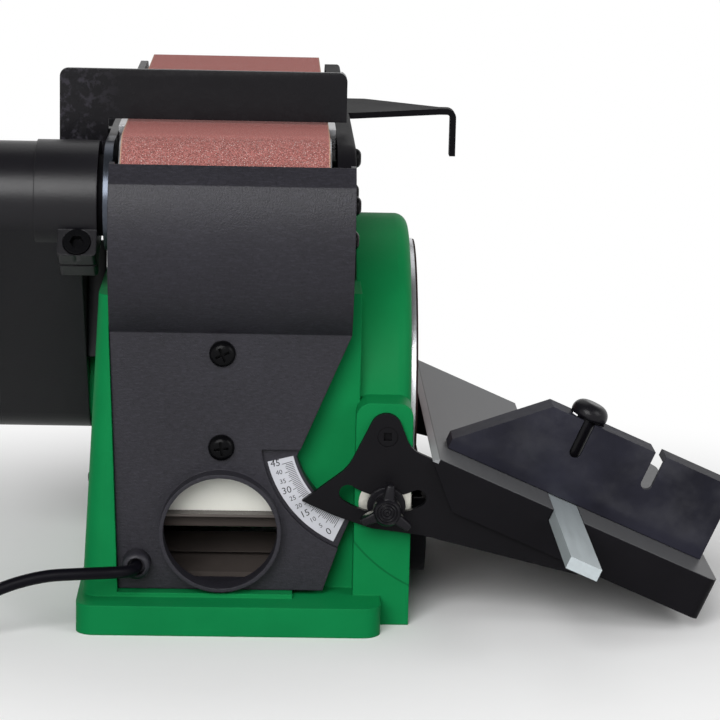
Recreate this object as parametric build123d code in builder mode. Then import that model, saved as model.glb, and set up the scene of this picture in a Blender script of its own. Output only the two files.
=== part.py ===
from build123d import *
import os
from math import ceil, cos, hypot, pi, radians, sin, sqrt, tan

# Belt and disc bench sander, millimetres, +Z up.
# X = 0 is the belt's centreline, Y = 0 the motor and disc axis, Z = 0 the bench.
# The belt arm runs along +Y, the disc faces +X.

os.makedirs("parts", exist_ok=True)

# Clearances
shaft_fit = 0.05  # radial, a shaft or pin in its hole
screw_fit = 0.1  # radial, a screw in its hole
run_gap = 0.3  # between pieces that move past each other

# Reach along Y of the table, and of the front panel that follows it
table_half = 115.0
panel_y = 6.0 - table_half

# Sanding belt and its drums
belt_width = 101.6
belt_length = 914.4
belt_thick = 1.0
drum_r = 29.7
drum_len = belt_width + 1.4
drum_wall = 4.0
drum_y = panel_y + 31.0
drum_z = 209.0
idler_len = belt_width - 3.6
idler_crown = 0.4
idler_wall = 4.0
idler_end = 12.0
idler_bearing_r = 16.0
idler_bearing_w = 10.0
axle_r = 6.0

belt_in_r = drum_r + run_gap
belt_out_r = belt_in_r + belt_thick
axle_span = (belt_length - 2 * pi * (belt_in_r + belt_thick / 2)) / 2
idler_y = drum_y + axle_span
arm_mid_y = drum_y + axle_span / 2
belt_top = drum_z + belt_out_r

# Belt arm
arm_room = 3.7
arm_half = belt_width / 2 + arm_room
arm_plate = 4.3
arm_end_r = 27.0
arm_swing = 34.0
cover_depth = 9.2
cover_wall = 2.5
arm_left_out = -arm_half - arm_plate
arm_right_out = arm_half + cover_depth
arm_right_web = arm_right_out - cover_wall
platen_thick = 3.0
platen_drop = 16.0
platen_from = drum_y + 36.0
platen_to = idler_y - 75.0
platen_top = drum_z + belt_in_r - run_gap
tie_thick = 12.0
tie_height = 22.0
front_tie_y = 40.0
guide_tie_y = 150.0
shaft_r = 7.5
shaft_pass = 9.0
drum_bearing_r = 17.5
drum_bearing_w = 11.0
end_bearing_r = 14.0
end_bearing_w = 6.5
flange_screw_ring = 20.5

# Button-head screws of the arm
arm_screw_r = 2.5
arm_screw_len = 14.0
button_r = 4.75
button_height = 2.6

# Clamp sleeve and drive-belt case at the left end
sleeve_r = 20.0
collar_r = 27.0
collar_gap = 2.8
collar_from = arm_left_out - collar_gap
collar_len = 30.4
sleeve_end = collar_from - collar_len
clamp_width = 18.9
clamp_reach = 38.0
clamp_half = 12.0
clamp_slit = 2.0
clamp_turn = 56.0
clamp_screw_r = 4.0
clamp_screw_out = 31.0
case_r = 26.0
case_wall = 5.0
case_from = collar_from - 8.4
case_depth = 46.0
case_back = 4.0
case_cover = 5.0
case_screw_r = 1.6
case_screw_len = 12.0
case_screw_head_r = 3.2
case_screw_head = 2.2
case_screw_ring = 16.5

# V-belt drive, one to one
pulley_x = case_from - 35.0
pulley_width = 14.0
pulley_r = 19.5
vbelt_width = 9.7
vbelt_inner = 5.4
vbelt_height = 6.0
vbelt_r = 19.2

# Motor, its axis along X
motor_z = 100.0
motor_r = 50.0
motor_wall = 4.0
motor_from = arm_left_out + 22.8
motor_to = arm_right_out - 21.7
fin_count = 18
fin_height = 3.5
fin_thick = 2.4
stator_from = motor_from + 22.0
stator_to = motor_to - 16.0
winding = 12.0
rotor_r = 28.0
air_gap = 0.5
rotor_shaft_r = 8.0
motor_bearing_w = 10.0
rear_bell = 11.0
front_bell = 23.0
bell_post_r = 6.0
bell_post_ring = 36.0
motor_bolt_r = 2.5
fan_r = 36.0
fan_from = motor_from - 18.5
fan_width = 5.0
fan_blades = 9

# Sanding disc and its guards
disc_r = 76.0
disc_back = arm_right_out + 20.3
disc_face = disc_back + 12.6
disc_hub_r = 22.0
disc_hub = 7.0
paper_thick = 1.0
guard_r = 89.0
guard_from = arm_right_out + 2.3
guard_rim = guard_from + 28.0
guard_room_r = 81.0
guard_back = guard_from + 7.0
guard_foot = 2.0
guard_round = 7.0
pan_half = 88.0
pan_low = 17.0
pan_high = 60.0
pan_depth = 9.0
pan_wall = 2.5
pan_corner = 22.0
pan_screw_y = 82.0
pan_screw_z = 46.0
pan_screw_r = 2.0

# Base casting
base_wall = 5.0
base_top = 165.0
base_left_low = arm_left_out - 9.8
base_left_high = arm_left_out - 1.8
base_right = guard_from + 2.0
base_front_low = panel_y - 7.0
base_front_high = panel_y - 1.0
base_back_low = table_half - 9.0
base_back_high = table_half - 17.0
base_corner = 9.0
foot_left = base_left_low - 1.5
foot_right = guard_from + 13.5
foot_front = panel_y - 22.0
foot_back = table_half - 2.0
foot_height = 15.0
foot_round = 6.0
floor_thick = 10.0
bolt_x = 52.0
bolt_y = 85.0
bolt_r = 4.2
chute_wall_y = panel_y + 14.0
boss_r = 24.0

# Front dust cover
panel_thick = 2.5
panel_low = 17.5
lip_y = panel_y - 10.0
lip_z = 230.5
facet_z = 222.0
bulge_y = panel_y + 51.6
bulge_z = 198.6
bulge_r = 73.0
cover_left = -arm_half - 0.5
cover_right = arm_half + 8.5
port_z = 48.5
port_r = 28.0
port_wall = 2.0
port_reach = 9.0
cover_screw_r = 2.0
cover_head_r = 6.5
cover_head = 4.4
cover_screw_zs = (137.0, 90.0)
cord_x = cover_left + 14.0
cord_z = 31.0

# Table and its trunnions
pivot_x = guard_from + 15.5
pivot_z = 97.0
rest_tilt = 23.5
table_edge = 24.7
table_top = 1.3
table_len = 155.0
table_thick = 6.0
apron = 22.0
edge_bevel = 2.5
edge_bevel_wide = 3.0
apron_wall = 3.5
bracket_thick = 3.0
pivot_r = 5.0
lobe_r = 11.0
stud_r = 4.0
stud_ring = 34.5
knob_r = 14.0
pad_left = guard_from
pad_low = 0.0
pad_high = 113.0
pad_round = 7.0
scale_in = 47.5
scale_out = 60.5
scale_zero = 62.0
scale_span = 45.0
ear_in = 46.0
ear_end = 68.0
recess_r = 62.3
recess_top = 89.0
recess_depth = 3.0
pointer_r = 53.0

# Mitre gauge, from the table's disc-side edge
bar_u = 73.0
bar_width = 16.0
bar_thick = 6.0
bar_front = 81.5
bar_len = 295.0
head_behind = 31.0
head_deep = 18.0
head_wall = 3.5
head_from = 9.0
head_to = 150.0
head_height = 41.0
head_slope = 39.0
head_tip = 5.0
head_slot = 6.0
head_slot_deep = 19.5
head_slot_step = 40.0
protractor_r = 30.0
mitre_stud_r = 3.0
mitre_stud_side = 4.9
mitre_knob_r = 9.5

# Work stop
stop_y = drum_y + 42.0
stop_thick = 3.0
stop_left = arm_left_out - 25.7
stop_right = arm_half + 5.5
stop_gap = 1.5
stop_tall = 25.0
stop_top = belt_top + stop_gap + stop_tall
stop_low = drum_z - 6.0
stop_return = 13.0
tab_right = arm_left_out - 1.2
lug_thick = 8.0
stop_bolt_x = arm_left_out - 13.2
stop_bolt_z = drum_z + 8.5
stop_bolt_r = 3.0

# Tension lever and idler fork
lever_x = 30.0
lever_y = 80.0
lever_z = drum_z + 22.9
lever_thick = 3.2
lever_tip = 123.0
lever_leg = 26.0
lever_tip_y = 84.0
lever_tip_half = 4.5
lever_near = 25.0
lever_far = 40.0
lever_pin_r = 5.0
lever_slack = 0.8
post_r = 4.0
rod_side = 12.0
rod_front = 2.0
fork_in = arm_half - 4.3
fork_thick = 3.2
fork_back = 58.0
fork_bar = 8.0
fork_height = 18.0
spring_r = 11.0
spring_wire = 1.2
spring_turns = 7
tracking_back = 38.0
tracking_r = 3.0
tracking_knob_r = 13.0
tracking_knob_len = 20.0

# Switch on the left wall
switch_y = 66.0
switch_z = 76.0
switch_x = base_left_low - 1.4
bezel_half_y = 12.0
bezel_half_z = 16.0
bezel_thick = 2.0
switch_deep = 18.0
rocker_half_y = 7.5
rocker_half_z = 12.0

# Power cord, coiled on the bench beyond the drive case
cord_r = 3.0
boss_len = 9.0
boss_round = 7.0
coil_x = -184.0
coil_y = -124.0
coil_r = 44.0
coil_pitch = 6.4
coil_low = 4.5
coil_layer = 6.4
coil_turns_in = 3
coil_tail = 25.0
plug_r = 18.0


def spin_plane(y, z):
    """Plane through an axle along X: local x runs along the axle, local y is the radius."""
    return Plane(origin=(0, y, z), x_dir=(1, 0, 0), z_dir=(0, -1, 0))


def x_axis(y, z):
    return Axis((0, y, z), (1, 0, 0))


def rod_x(radius, x0, x1, y, z, mode=Mode.ADD):
    with Locations(((x0 + x1) / 2, y, z)):
        Cylinder(radius, abs(x1 - x0), rotation=(0, 90, 0), mode=mode)


def rod_y(radius, x, y0, y1, z, mode=Mode.ADD):
    with Locations((x, (y0 + y1) / 2, z)):
        Cylinder(radius, abs(y1 - y0), rotation=(90, 0, 0), mode=mode)


def rod_z(radius, x, y, z0, z1, mode=Mode.ADD):
    with Locations((x, y, (z0 + z1) / 2)):
        Cylinder(radius, abs(z1 - z0), mode=mode)


def block(x0, x1, y0, y1, z0, z1, mode=Mode.ADD):
    with Locations(((x0 + x1) / 2, (y0 + y1) / 2, (z0 + z1) / 2)):
        Box(abs(x1 - x0), abs(y1 - y0), abs(z1 - z0), mode=mode)


def ring_x(r_in, r_out, x0, x1, y, z):
    rod_x(r_out, x0, x1, y, z)
    rod_x(r_in, x0, x1, y, z, mode=Mode.SUBTRACT)


def stadium(x, radius):
    """Arm outline of the given end radius, on the plane at x."""
    with BuildSketch(Plane.YZ.offset(x)) as outline:
        with Locations((arm_mid_y, drum_z)):
            SlotCenterToCenter(axle_span, 2 * radius)
    return outline.sketch


def biarc_path(curve, start, stop, steps, lead):
    """Tangent arcs, two to a step, along a curve given by its turn angle, with straight ends."""

    def at(turn):
        return Vector(*curve(turn))

    def heading(turn):
        return (at(turn + 0.01) - at(turn - 0.01)).normalized()

    with BuildLine() as path:
        Line(at(start) - heading(start) * lead, at(start))
        for step in range(steps):
            first = start + (stop - start) * step / steps
            last = start + (stop - start) * (step + 1) / steps
            p0, p1 = at(first), at(last)
            d0, d1 = heading(first), heading(last)
            chord = p1 - p0
            along = chord.dot(d0 + d1)
            spread = 2 * (1 - d0.dot(d1))
            reach = (sqrt(along**2 + spread * chord.dot(chord)) - along) / spread
            middle = (p0 + p1 + (d0 - d1) * reach) * 0.5
            turn_in = ((p1 - d1 * reach) - (p0 + d0 * reach)).normalized()
            TangentArc(p0, middle, tangent=d0)
            TangentArc(middle, p1, tangent=turn_in)
        Line(at(stop), at(stop) + heading(stop) * lead)
    return path.wire()


def least_gap(curve, start, stop, radius, skip):
    """Least distance between a wound tube and itself, over points 6 degrees apart."""
    count = ceil((stop - start) / 6)
    points = [Vector(*curve(start + (stop - start) * i / count)) for i in range(count + 1)]
    far = skip // 6
    gaps = [
        (points[i] - points[j]).length
        for i in range(len(points))
        for j in range(i + far, len(points))
    ]
    return min(gaps) - 2 * radius


def on_pivot(radius, below):
    """Point (X, Z) at a radius from the table pivot, in degrees below the -X direction."""
    return (pivot_x - radius * cos(radians(below)), pivot_z - radius * sin(radians(below)))


def cover_outline(grow):
    """Front outline of the dust cover in X and Z, grown by a margin."""
    low, left, right = panel_low - grow, cover_left - grow, cover_right + grow
    with BuildSketch(Plane.XZ) as outline:
        with BuildLine():
            corner = Polyline(
                on_pivot(ear_in - grow, ear_end + grow),
                on_pivot(recess_r + grow, ear_end + grow),
                (51.0 + grow, low),
                (left + 5.0, low),
                (left + 1.5, 110.0),
                (left, 147.0),
                (left, lip_z + 20),
                (right, lip_z + 20),
                (right, 147.0),
                on_pivot(ear_in - grow, 15),
            )
            ThreePointArc(corner @ 1, on_pivot(ear_in - grow, 40), corner @ 0)
        make_face()
    return outline.sketch


def bulge_at(z, inset):
    """Depth Y of the cover's bulge at a height, inset by a wall."""
    return bulge_y - sqrt((bulge_r - inset) ** 2 - (z - bulge_z) ** 2)


def crease(inset):
    """Height where the bulge meets the flat panel."""
    return bulge_z - sqrt((bulge_r - inset) ** 2 - (panel_y + inset - bulge_y) ** 2)


drive_span = hypot(drum_y, drum_z - motor_z)
drive_along = (0, drum_y / drive_span, (drum_z - motor_z) / drive_span)


def drive_plane(x):
    """Plane across the V-belt drive, local x from the motor shaft up to the drum shaft."""
    middle = (x, drum_y / 2, (drum_z + motor_z) / 2)
    return Plane(origin=middle, x_dir=drive_along, z_dir=(1, 0, 0))


def drive_outline(x, radius):
    with BuildSketch(drive_plane(x)) as outline:
        SlotCenterToCenter(drive_span, 2 * radius)
    return outline.sketch


# Screw places that two pieces share
case_screw_in = case_r - case_wall / 2
case_screw_spots = [(side * drive_span / 4, end * case_screw_in) for side in (-1, 1) for end in (-1, 1)]
case_bolt_spots = [
    (case_screw_ring * cos(radians(a)), motor_z + case_screw_ring * sin(radians(a))) for a in (90, 210, 330)
]
motor_bolt_spots = [
    (bell_post_ring * cos(radians(a)), motor_z + bell_post_ring * sin(radians(a)))
    for a in (45, 135, 225, 315)
]
flange_spots = [
    (drum_y + flange_screw_ring * cos(radians(a)), drum_z + flange_screw_ring * sin(radians(a)))
    for a in (0, 90, 180, 270)
]
tie_spots = [(y + tie_thick / 2, drum_z) for y in (front_tie_y, guide_tie_y)]
tracking_y = idler_y - tracking_back

# Foot of the base, its front and right top edges rounded
with BuildPart() as foot:
    with BuildSketch(Plane.XY):
        with Locations(((foot_left + foot_right) / 2, (foot_front + foot_back) / 2)):
            RectangleRounded(foot_right - foot_left, foot_back - foot_front, base_corner)
    extrude(amount=foot_height)
    with BuildSketch(Plane.YZ.offset(foot_left)):
        with Locations(((foot_front + foot_back) / 2, foot_height / 2)):
            outline = Rectangle(foot_back - foot_front, foot_height)
        fillet(outline.vertices().filter_by(lambda v: v.Y < 0 and v.Z > 1), foot_round)
    extrude(amount=foot_right - foot_left, mode=Mode.INTERSECT)
    with BuildSketch(Plane.XZ.offset(-foot_back)):
        with Locations(((foot_left + foot_right) / 2, foot_height / 2)):
            outline = Rectangle(foot_right - foot_left, foot_height)
        fillet(outline.vertices().filter_by(lambda v: v.X > 0 and v.Z > 1), foot_round)
    extrude(amount=foot_back - foot_front, mode=Mode.INTERSECT)

# Base casting: tapered pedestal, foot, round disc guard, trunnion pads
with BuildPart() as base:
    with BuildSketch(Plane.XY):
        with Locations(((base_left_low + base_right) / 2, (base_front_low + base_back_low) / 2)):
            RectangleRounded(base_right - base_left_low, base_back_low - base_front_low, base_corner)
    with BuildSketch(Plane.XY.offset(base_top)):
        with Locations(((base_left_high + base_right) / 2, (base_front_high + base_back_high) / 2)):
            RectangleRounded(base_right - base_left_high, base_back_high - base_front_high, base_corner)
    loft()
    add(foot.part)
    with BuildSketch(Plane.YZ.offset(guard_from)):
        with Locations((0, motor_z)):
            Circle(guard_r)
        with Locations((0, (motor_z + guard_foot) / 2)):
            Rectangle(2 * guard_r, motor_z - guard_foot)
    extrude(amount=guard_rim - guard_from)
    rim = base.edges().filter_by(lambda e: abs(e.center().X - guard_rim) < 0.1)
    fillet(rim.filter_by(GeomType.CIRCLE) + rim.filter_by(Axis.Z), guard_round)
    # Room in front for the bracket, and the dust cover's seat
    front = foot_front - 1
    block(cover_right - 27, guard_rim + 1, front, chute_wall_y, foot_height, base_top + 1, Mode.SUBTRACT)
    with BuildSketch(Plane.XZ.offset(-chute_wall_y)):
        add(cover_outline(run_gap))
        with Locations((0, foot_height - 20)):
            Rectangle(400, 40, mode=Mode.SUBTRACT)
    extrude(amount=60, mode=Mode.SUBTRACT)
    for side in (-1, 1):
        with BuildSketch(Plane.XZ.offset(-side * (table_half - apron_wall - bracket_thick - run_gap))):
            with Locations(((pad_left + guard_rim) / 2, (pad_low + pad_high) / 2)):
                RectangleRounded(guard_rim - pad_left, pad_high - pad_low, pad_round)
            with Locations(((pad_left + guard_rim) / 2, pad_low + pad_round)):
                Rectangle(guard_rim - pad_left, 2 * pad_round)
        extrude(amount=side * 30)
    rod_x(boss_r, case_from, base_left_high + base_wall, 0, motor_z)
    block(switch_x, switch_x + 12, switch_y - 20, switch_y + 20, switch_z - 22, switch_z + 22)
    # Motor room, open below between the bolt ledges
    with BuildSketch(Plane.XY.offset(floor_thick)):
        low = (base_left_low + base_wall, chute_wall_y + base_wall)
        size = (guard_from - 1 - low[0], base_back_low - base_wall - low[1])
        with Locations((low[0] + size[0] / 2, low[1] + size[1] / 2)):
            RectangleRounded(*size, base_corner - base_wall)
    with BuildSketch(Plane.XY.offset(base_top - base_wall)):
        high = (base_left_high + base_wall, chute_wall_y + base_wall)
        size = (guard_from - 1 - high[0], base_back_high - base_wall - high[1])
        with Locations((high[0] + size[0] / 2, high[1] + size[1] / 2)):
            RectangleRounded(*size, base_corner - base_wall)
    loft(mode=Mode.SUBTRACT)
    block(-bolt_x + 10, bolt_x - 10, -bolt_y + 18, bolt_y - 18, -1, floor_thick + 1, mode=Mode.SUBTRACT)
    # Disc room in the guard, with a dust gap through to the motor room
    rod_x(guard_room_r, guard_back, guard_rim + 1, 0, motor_z, mode=Mode.SUBTRACT)
    block(guard_from - 2, guard_back + 1, -64, -34, 26, 46, mode=Mode.SUBTRACT)
    # Dust opening low in the chute wall, and the cover's screw posts
    block(-40, 36, chute_wall_y - 1, chute_wall_y + base_wall + 1, foot_height, 46, mode=Mode.SUBTRACT)
    for z in cover_screw_zs:
        rod_y(6, 0, panel_y + panel_thick, chute_wall_y, z)
    # Shaft, screw and bolt holes
    rod_x(shaft_pass, case_from - 1, base_left_high + base_wall + 1, 0, motor_z, mode=Mode.SUBTRACT)
    rod_x(shaft_pass, guard_from - 2, guard_back + 1, 0, motor_z, mode=Mode.SUBTRACT)
    for y, z in case_bolt_spots:
        hole_end = case_from + case_screw_len - case_back + 0.5
        rod_x(case_screw_r + screw_fit, case_from, hole_end, y, z, Mode.SUBTRACT)
    for y, z in motor_bolt_spots:
        rod_x(motor_bolt_r + screw_fit, guard_from - 2, guard_back + 1, y, z, mode=Mode.SUBTRACT)
    for z in cover_screw_zs:
        rod_y(cover_screw_r + screw_fit, 0, panel_y, chute_wall_y, z, mode=Mode.SUBTRACT)
    for side in (-1, 1):
        pad_y = side * (table_half - apron_wall - bracket_thick - run_gap)
        rod_y(pivot_r, pivot_x, pad_y, pad_y - side * 12, pivot_z, mode=Mode.SUBTRACT)
        rod_y(stud_r, pivot_x, pad_y, pad_y - side * 12, pivot_z - stud_ring, mode=Mode.SUBTRACT)
        screw_y = side * pan_screw_y
        rod_x(pan_screw_r + screw_fit, guard_rim - 9, guard_rim + 1, screw_y, pan_screw_z, Mode.SUBTRACT)
    with Locations((0, 0, floor_thick / 2)):
        with GridLocations(2 * bolt_x, 2 * bolt_y, 2, 2):
            Cylinder(bolt_r, floor_thick + 2, mode=Mode.SUBTRACT)
    block(
        switch_x - 1,
        switch_x + 40,
        switch_y - bezel_half_y + 2 - run_gap,
        switch_y + bezel_half_y - 2 + run_gap,
        switch_z - bezel_half_z + 2 - run_gap,
        switch_z + bezel_half_z - 2 + run_gap,
        mode=Mode.SUBTRACT,
    )
base.part.label = "base"
export_step(base.part, "parts/base.step")

# Dust cover: bulge round the drum, flat panel, scale ear, dust port
with BuildPart() as cover_room:
    with BuildSketch(Plane.YZ.offset(cover_left - 10)):
        with BuildLine():
            top = (bulge_at(facet_z, panel_thick) + 0.625 * 20, facet_z + 20)
            run = Polyline(
                (panel_y + panel_thick, crease(panel_thick)),
                (panel_y + panel_thick, panel_low - 5),
                (drum_y, panel_low - 5),
                (drum_y, facet_z + 20),
                top,
                (bulge_at(facet_z, panel_thick), facet_z),
            )
            ThreePointArc(run @ 1, (bulge_at(190, panel_thick), 190), run @ 0)
        make_face()
    extrude(amount=cover_right - cover_left + 20)
    extrude(cover_outline(-panel_thick), amount=140, mode=Mode.INTERSECT)

with BuildPart() as front_cover:
    with BuildSketch(Plane.YZ.offset(cover_left)):
        with BuildLine():
            run = Polyline(
                (panel_y, crease(0)),
                (panel_y, panel_low),
                (chute_wall_y - run_gap, panel_low),
                (chute_wall_y - run_gap, lip_z),
                (lip_y, lip_z),
                (bulge_at(facet_z, 0), facet_z),
            )
            ThreePointArc(run @ 1, (bulge_at(190, 0), 190), run @ 0)
        make_face()
    extrude(amount=cover_right - cover_left + 5)
    extrude(cover_outline(0), amount=140, mode=Mode.INTERSECT)
    add(cover_room.part, mode=Mode.SUBTRACT)
    # Room for the arm to swing upright
    rod_x(arm_swing, cover_left - 5, cover_right + 5, drum_y, drum_z, mode=Mode.SUBTRACT)
    block(cover_left - 5, cover_right + 5, drum_y - arm_swing, drum_y, drum_z, lip_z + 1, mode=Mode.SUBTRACT)
    # Sunk ear behind the pointer, with a lip round it
    with BuildSketch(Plane.XZ.offset(-panel_y)):
        with Locations((pivot_x, pivot_z)):
            Circle(recess_r)
        with Locations((pivot_x, recess_top + 100)):
            Rectangle(300, 200, mode=Mode.SUBTRACT)
    extrude(amount=-recess_depth, mode=Mode.SUBTRACT)
    with BuildSketch(Plane.XZ.offset(-panel_y - recess_depth)):
        add(cover_outline(0))
        with Locations((pivot_x, pivot_z)):
            Circle(recess_r + panel_thick, mode=Mode.INTERSECT)
        with Locations((pivot_x, recess_top + panel_thick + 100)):
            Rectangle(300, 200, mode=Mode.SUBTRACT)
    extrude(amount=-panel_thick)
    # Dust port, cord hole, screw holes
    rod_y(port_r + port_wall, 0, panel_y - port_reach, panel_y + panel_thick, port_z)
    rod_y(port_r, 0, panel_y - port_reach - 1, panel_y + panel_thick + 1, port_z, mode=Mode.SUBTRACT)
    rod_y(6.0, cord_x, panel_y - 1, panel_y + panel_thick + 1, cord_z, mode=Mode.SUBTRACT)
    for z in cover_screw_zs:
        rod_y(cover_screw_r + screw_fit, 0, panel_y - 1, panel_y + panel_thick + 0.5, z, mode=Mode.SUBTRACT)
front_cover.part.label = "front_cover"
export_step(front_cover.part, "parts/front_cover.step")

with BuildPart() as cover_screws:
    for z in cover_screw_zs:
        rod_y(cover_head_r, 0, panel_y - cover_head, panel_y, z)
        rod_y(cover_screw_r, 0, panel_y, panel_y + 12, z)
    fillet(cover_screws.faces().group_by(Axis.Y)[0].edges(), 2)
cover_screws.part.label = "cover_screws"
export_step(cover_screws.part, "parts/cover_screws.step")

with BuildPart() as angle_scale:
    with BuildSketch(Plane.XZ.offset(-panel_y - recess_depth)):
        with BuildLine():
            outer = ThreePointArc(
                on_pivot(scale_out, scale_zero + 3),
                on_pivot(scale_out, scale_zero - scale_span / 2),
                on_pivot(scale_out, scale_zero - scale_span - 3),
            )
            inner = ThreePointArc(
                on_pivot(scale_in, scale_zero - scale_span - 3),
                on_pivot(scale_in, scale_zero - scale_span / 2),
                on_pivot(scale_in, scale_zero + 3),
            )
            Line(outer @ 1, inner @ 0)
            Line(inner @ 1, outer @ 0)
        make_face()
    extrude(amount=0.5)
angle_scale.part.label = "angle_scale"
export_step(angle_scale.part, "parts/angle_scale.step")

with BuildPart() as chute_plate:
    left = cover_left + 11
    right = cover_right - 29
    low = port_z + 4.5
    block(left, right, chute_wall_y - 1.2, chute_wall_y, low, low + 30)
    block(left, right, chute_wall_y - 8, chute_wall_y, low, low + 1.2)
chute_plate.part.label = "chute_plate"
export_step(chute_plate.part, "parts/chute_plate.step")

# Motor inside the base
with BuildPart() as motor_housing:
    ring_x(motor_r - motor_wall, motor_r, motor_from, motor_to, 0, motor_z)
    with BuildSketch(Plane.YZ.offset(motor_from + 4)):
        with Locations((0, motor_z)):
            with PolarLocations(motor_r + fin_height / 2 - 0.5, fin_count):
                Rectangle(fin_height + 1, fin_thick)
    extrude(amount=motor_to - motor_from - 8)
motor_housing.part.label = "motor_housing"
export_step(motor_housing.part, "parts/motor_housing.step")

with BuildPart() as motor_stator:
    ring_x(rotor_r + air_gap, motor_r - motor_wall, stator_from, stator_to, 0, motor_z)
    ring_x(rotor_r + 3, motor_r - motor_wall - 3, stator_from - winding, stator_from, 0, motor_z)
    ring_x(rotor_r + 3, motor_r - motor_wall - 3, stator_to, stator_to + winding, 0, motor_z)
    ends = motor_stator.faces().filter_by(Axis.X).group_by(Axis.X)
    fillet(ends[0].edges() + ends[-1].edges(), 4)
motor_stator.part.label = "motor_stator"
export_step(motor_stator.part, "parts/motor_stator.step")

with BuildPart() as motor_end_bells:
    with BuildSketch(spin_plane(0, motor_z)):
        Polygon(
            (motor_to, drum_bearing_r + shaft_fit),
            (motor_to, motor_r),
            (motor_to + 6, motor_r),
            (motor_to + 10, drum_bearing_r + 6),
            (guard_from - 1, drum_bearing_r + 6),
            (guard_from - 1, shaft_pass),
            (motor_to + 4 + motor_bearing_w, shaft_pass),
            (motor_to + 4 + motor_bearing_w, drum_bearing_r + shaft_fit),
        )
        Polygon(
            (motor_from, drum_bearing_r + shaft_fit),
            (motor_from, motor_r),
            (motor_from - 5, motor_r),
            (motor_from - rear_bell, drum_bearing_r + 6),
            (motor_from - rear_bell, shaft_pass),
            (motor_from - motor_bearing_w, shaft_pass),
            (motor_from - motor_bearing_w, drum_bearing_r + shaft_fit),
        )
    revolve(axis=x_axis(0, motor_z))
    for y, z in motor_bolt_spots:
        rod_x(bell_post_r, motor_to + 3, guard_from - 1, y, z)
        rod_x(motor_bolt_r + screw_fit, motor_to + 12, guard_from, y, z, mode=Mode.SUBTRACT)
motor_end_bells.part.label = "motor_end_bells"
export_step(motor_end_bells.part, "parts/motor_end_bells.step")

with BuildPart() as motor_bearings:
    for x in (motor_from - motor_bearing_w, motor_to + 4):
        ring_x(shaft_r, drum_bearing_r, x, x + motor_bearing_w, 0, motor_z)
motor_bearings.part.label = "motor_bearings"
export_step(motor_bearings.part, "parts/motor_bearings.step")

with BuildPart() as motor_rotor:
    ring_x(rotor_shaft_r + shaft_fit, rotor_r, stator_from, stator_to, 0, motor_z)
motor_rotor.part.label = "motor_rotor"
export_step(motor_rotor.part, "parts/motor_rotor.step")

with BuildPart() as motor_shaft:
    rod_x(shaft_r - shaft_fit, pulley_x - pulley_width / 2 - 2, disc_back + 8, 0, motor_z)
    rod_x(rotor_shaft_r, motor_from + 2, motor_to - 2, 0, motor_z)
    chamfer(motor_shaft.faces().filter_by(Axis.X).group_by(Axis.X)[0].edges(), 1)
motor_shaft.part.label = "motor_shaft"
export_step(motor_shaft.part, "parts/motor_shaft.step")

with BuildPart() as motor_fan:
    rod_x(13, fan_from, fan_from + fan_width, 0, motor_z)
    rod_x(fan_r, fan_from + fan_width - 1.5, fan_from + fan_width, 0, motor_z)
    with BuildSketch(Plane.YZ.offset(fan_from)):
        with Locations((0, motor_z)):
            with PolarLocations(fan_r / 2 + 5, fan_blades):
                Rectangle(fan_r - 12, 1.6)
    extrude(amount=fan_width)
    rod_x(shaft_r, fan_from - 1, fan_from + fan_width + 1, 0, motor_z, mode=Mode.SUBTRACT)
motor_fan.part.label = "motor_fan"
export_step(motor_fan.part, "parts/motor_fan.step")

with BuildPart() as motor_bolts:
    for y, z in motor_bolt_spots:
        rod_x(motor_bolt_r, motor_to + 14, guard_back, y, z)
        rod_x(4.5, guard_back, guard_back + 4, y, z)
motor_bolts.part.label = "motor_bolts"
export_step(motor_bolts.part, "parts/motor_bolts.step")

# Disc on the motor shaft
with BuildPart() as sanding_disc:
    with BuildSketch(spin_plane(0, motor_z)):
        Polygon(
            (disc_back - disc_hub, 0),
            (disc_back - disc_hub, disc_hub_r),
            (disc_back - 1.5, disc_hub_r + 1.5),
            (disc_back, disc_r - 12),
            (disc_back + 3, disc_r - 10),
            (disc_back + 3, disc_r),
            (disc_face, disc_r),
            (disc_face, 0),
        )
    revolve(axis=x_axis(0, motor_z))
    rod_x(shaft_r, disc_back - disc_hub - 1, disc_back + 8 + run_gap, 0, motor_z, mode=Mode.SUBTRACT)
sanding_disc.part.label = "sanding_disc"
export_step(sanding_disc.part, "parts/sanding_disc.step")

with BuildPart() as abrasive_disc:
    rod_x(disc_r - 0.5, disc_face, disc_face + paper_thick, 0, motor_z)
abrasive_disc.part.label = "abrasive_disc"
export_step(abrasive_disc.part, "parts/abrasive_disc.step")

with BuildPart() as lower_disc_guard:
    for inset, depth, mode in ((0, pan_depth, Mode.ADD), (pan_wall, pan_depth - pan_wall, Mode.SUBTRACT)):
        with BuildSketch(Plane.YZ.offset(guard_rim)):
            with Locations((0, (pan_low + pan_high) / 2 + inset / 2)):
                outline = Rectangle(2 * (pan_half - inset), pan_high - pan_low - inset + (inset > 0))
            fillet(outline.vertices().group_by(Axis.Y)[0], pan_corner - inset)
        extrude(amount=depth, mode=mode)
    for side in (-1, 1):
        rod_x(4.5, guard_rim, guard_rim + pan_depth - pan_wall, side * pan_screw_y, pan_screw_z)
        screw_y = side * pan_screw_y
        rod_x(pan_screw_r + screw_fit, guard_rim - 1, guard_rim + 12, screw_y, pan_screw_z, Mode.SUBTRACT)
lower_disc_guard.part.label = "lower_disc_guard"
export_step(lower_disc_guard.part, "parts/lower_disc_guard.step")

with BuildPart() as guard_screws:
    for side in (-1, 1):
        rod_x(pan_screw_r, guard_rim - 8, guard_rim + pan_depth, side * pan_screw_y, pan_screw_z)
        rod_x(4, guard_rim + pan_depth, guard_rim + pan_depth + 2.4, side * pan_screw_y, pan_screw_z)
guard_screws.part.label = "guard_screws"
export_step(guard_screws.part, "parts/guard_screws.step")

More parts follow.
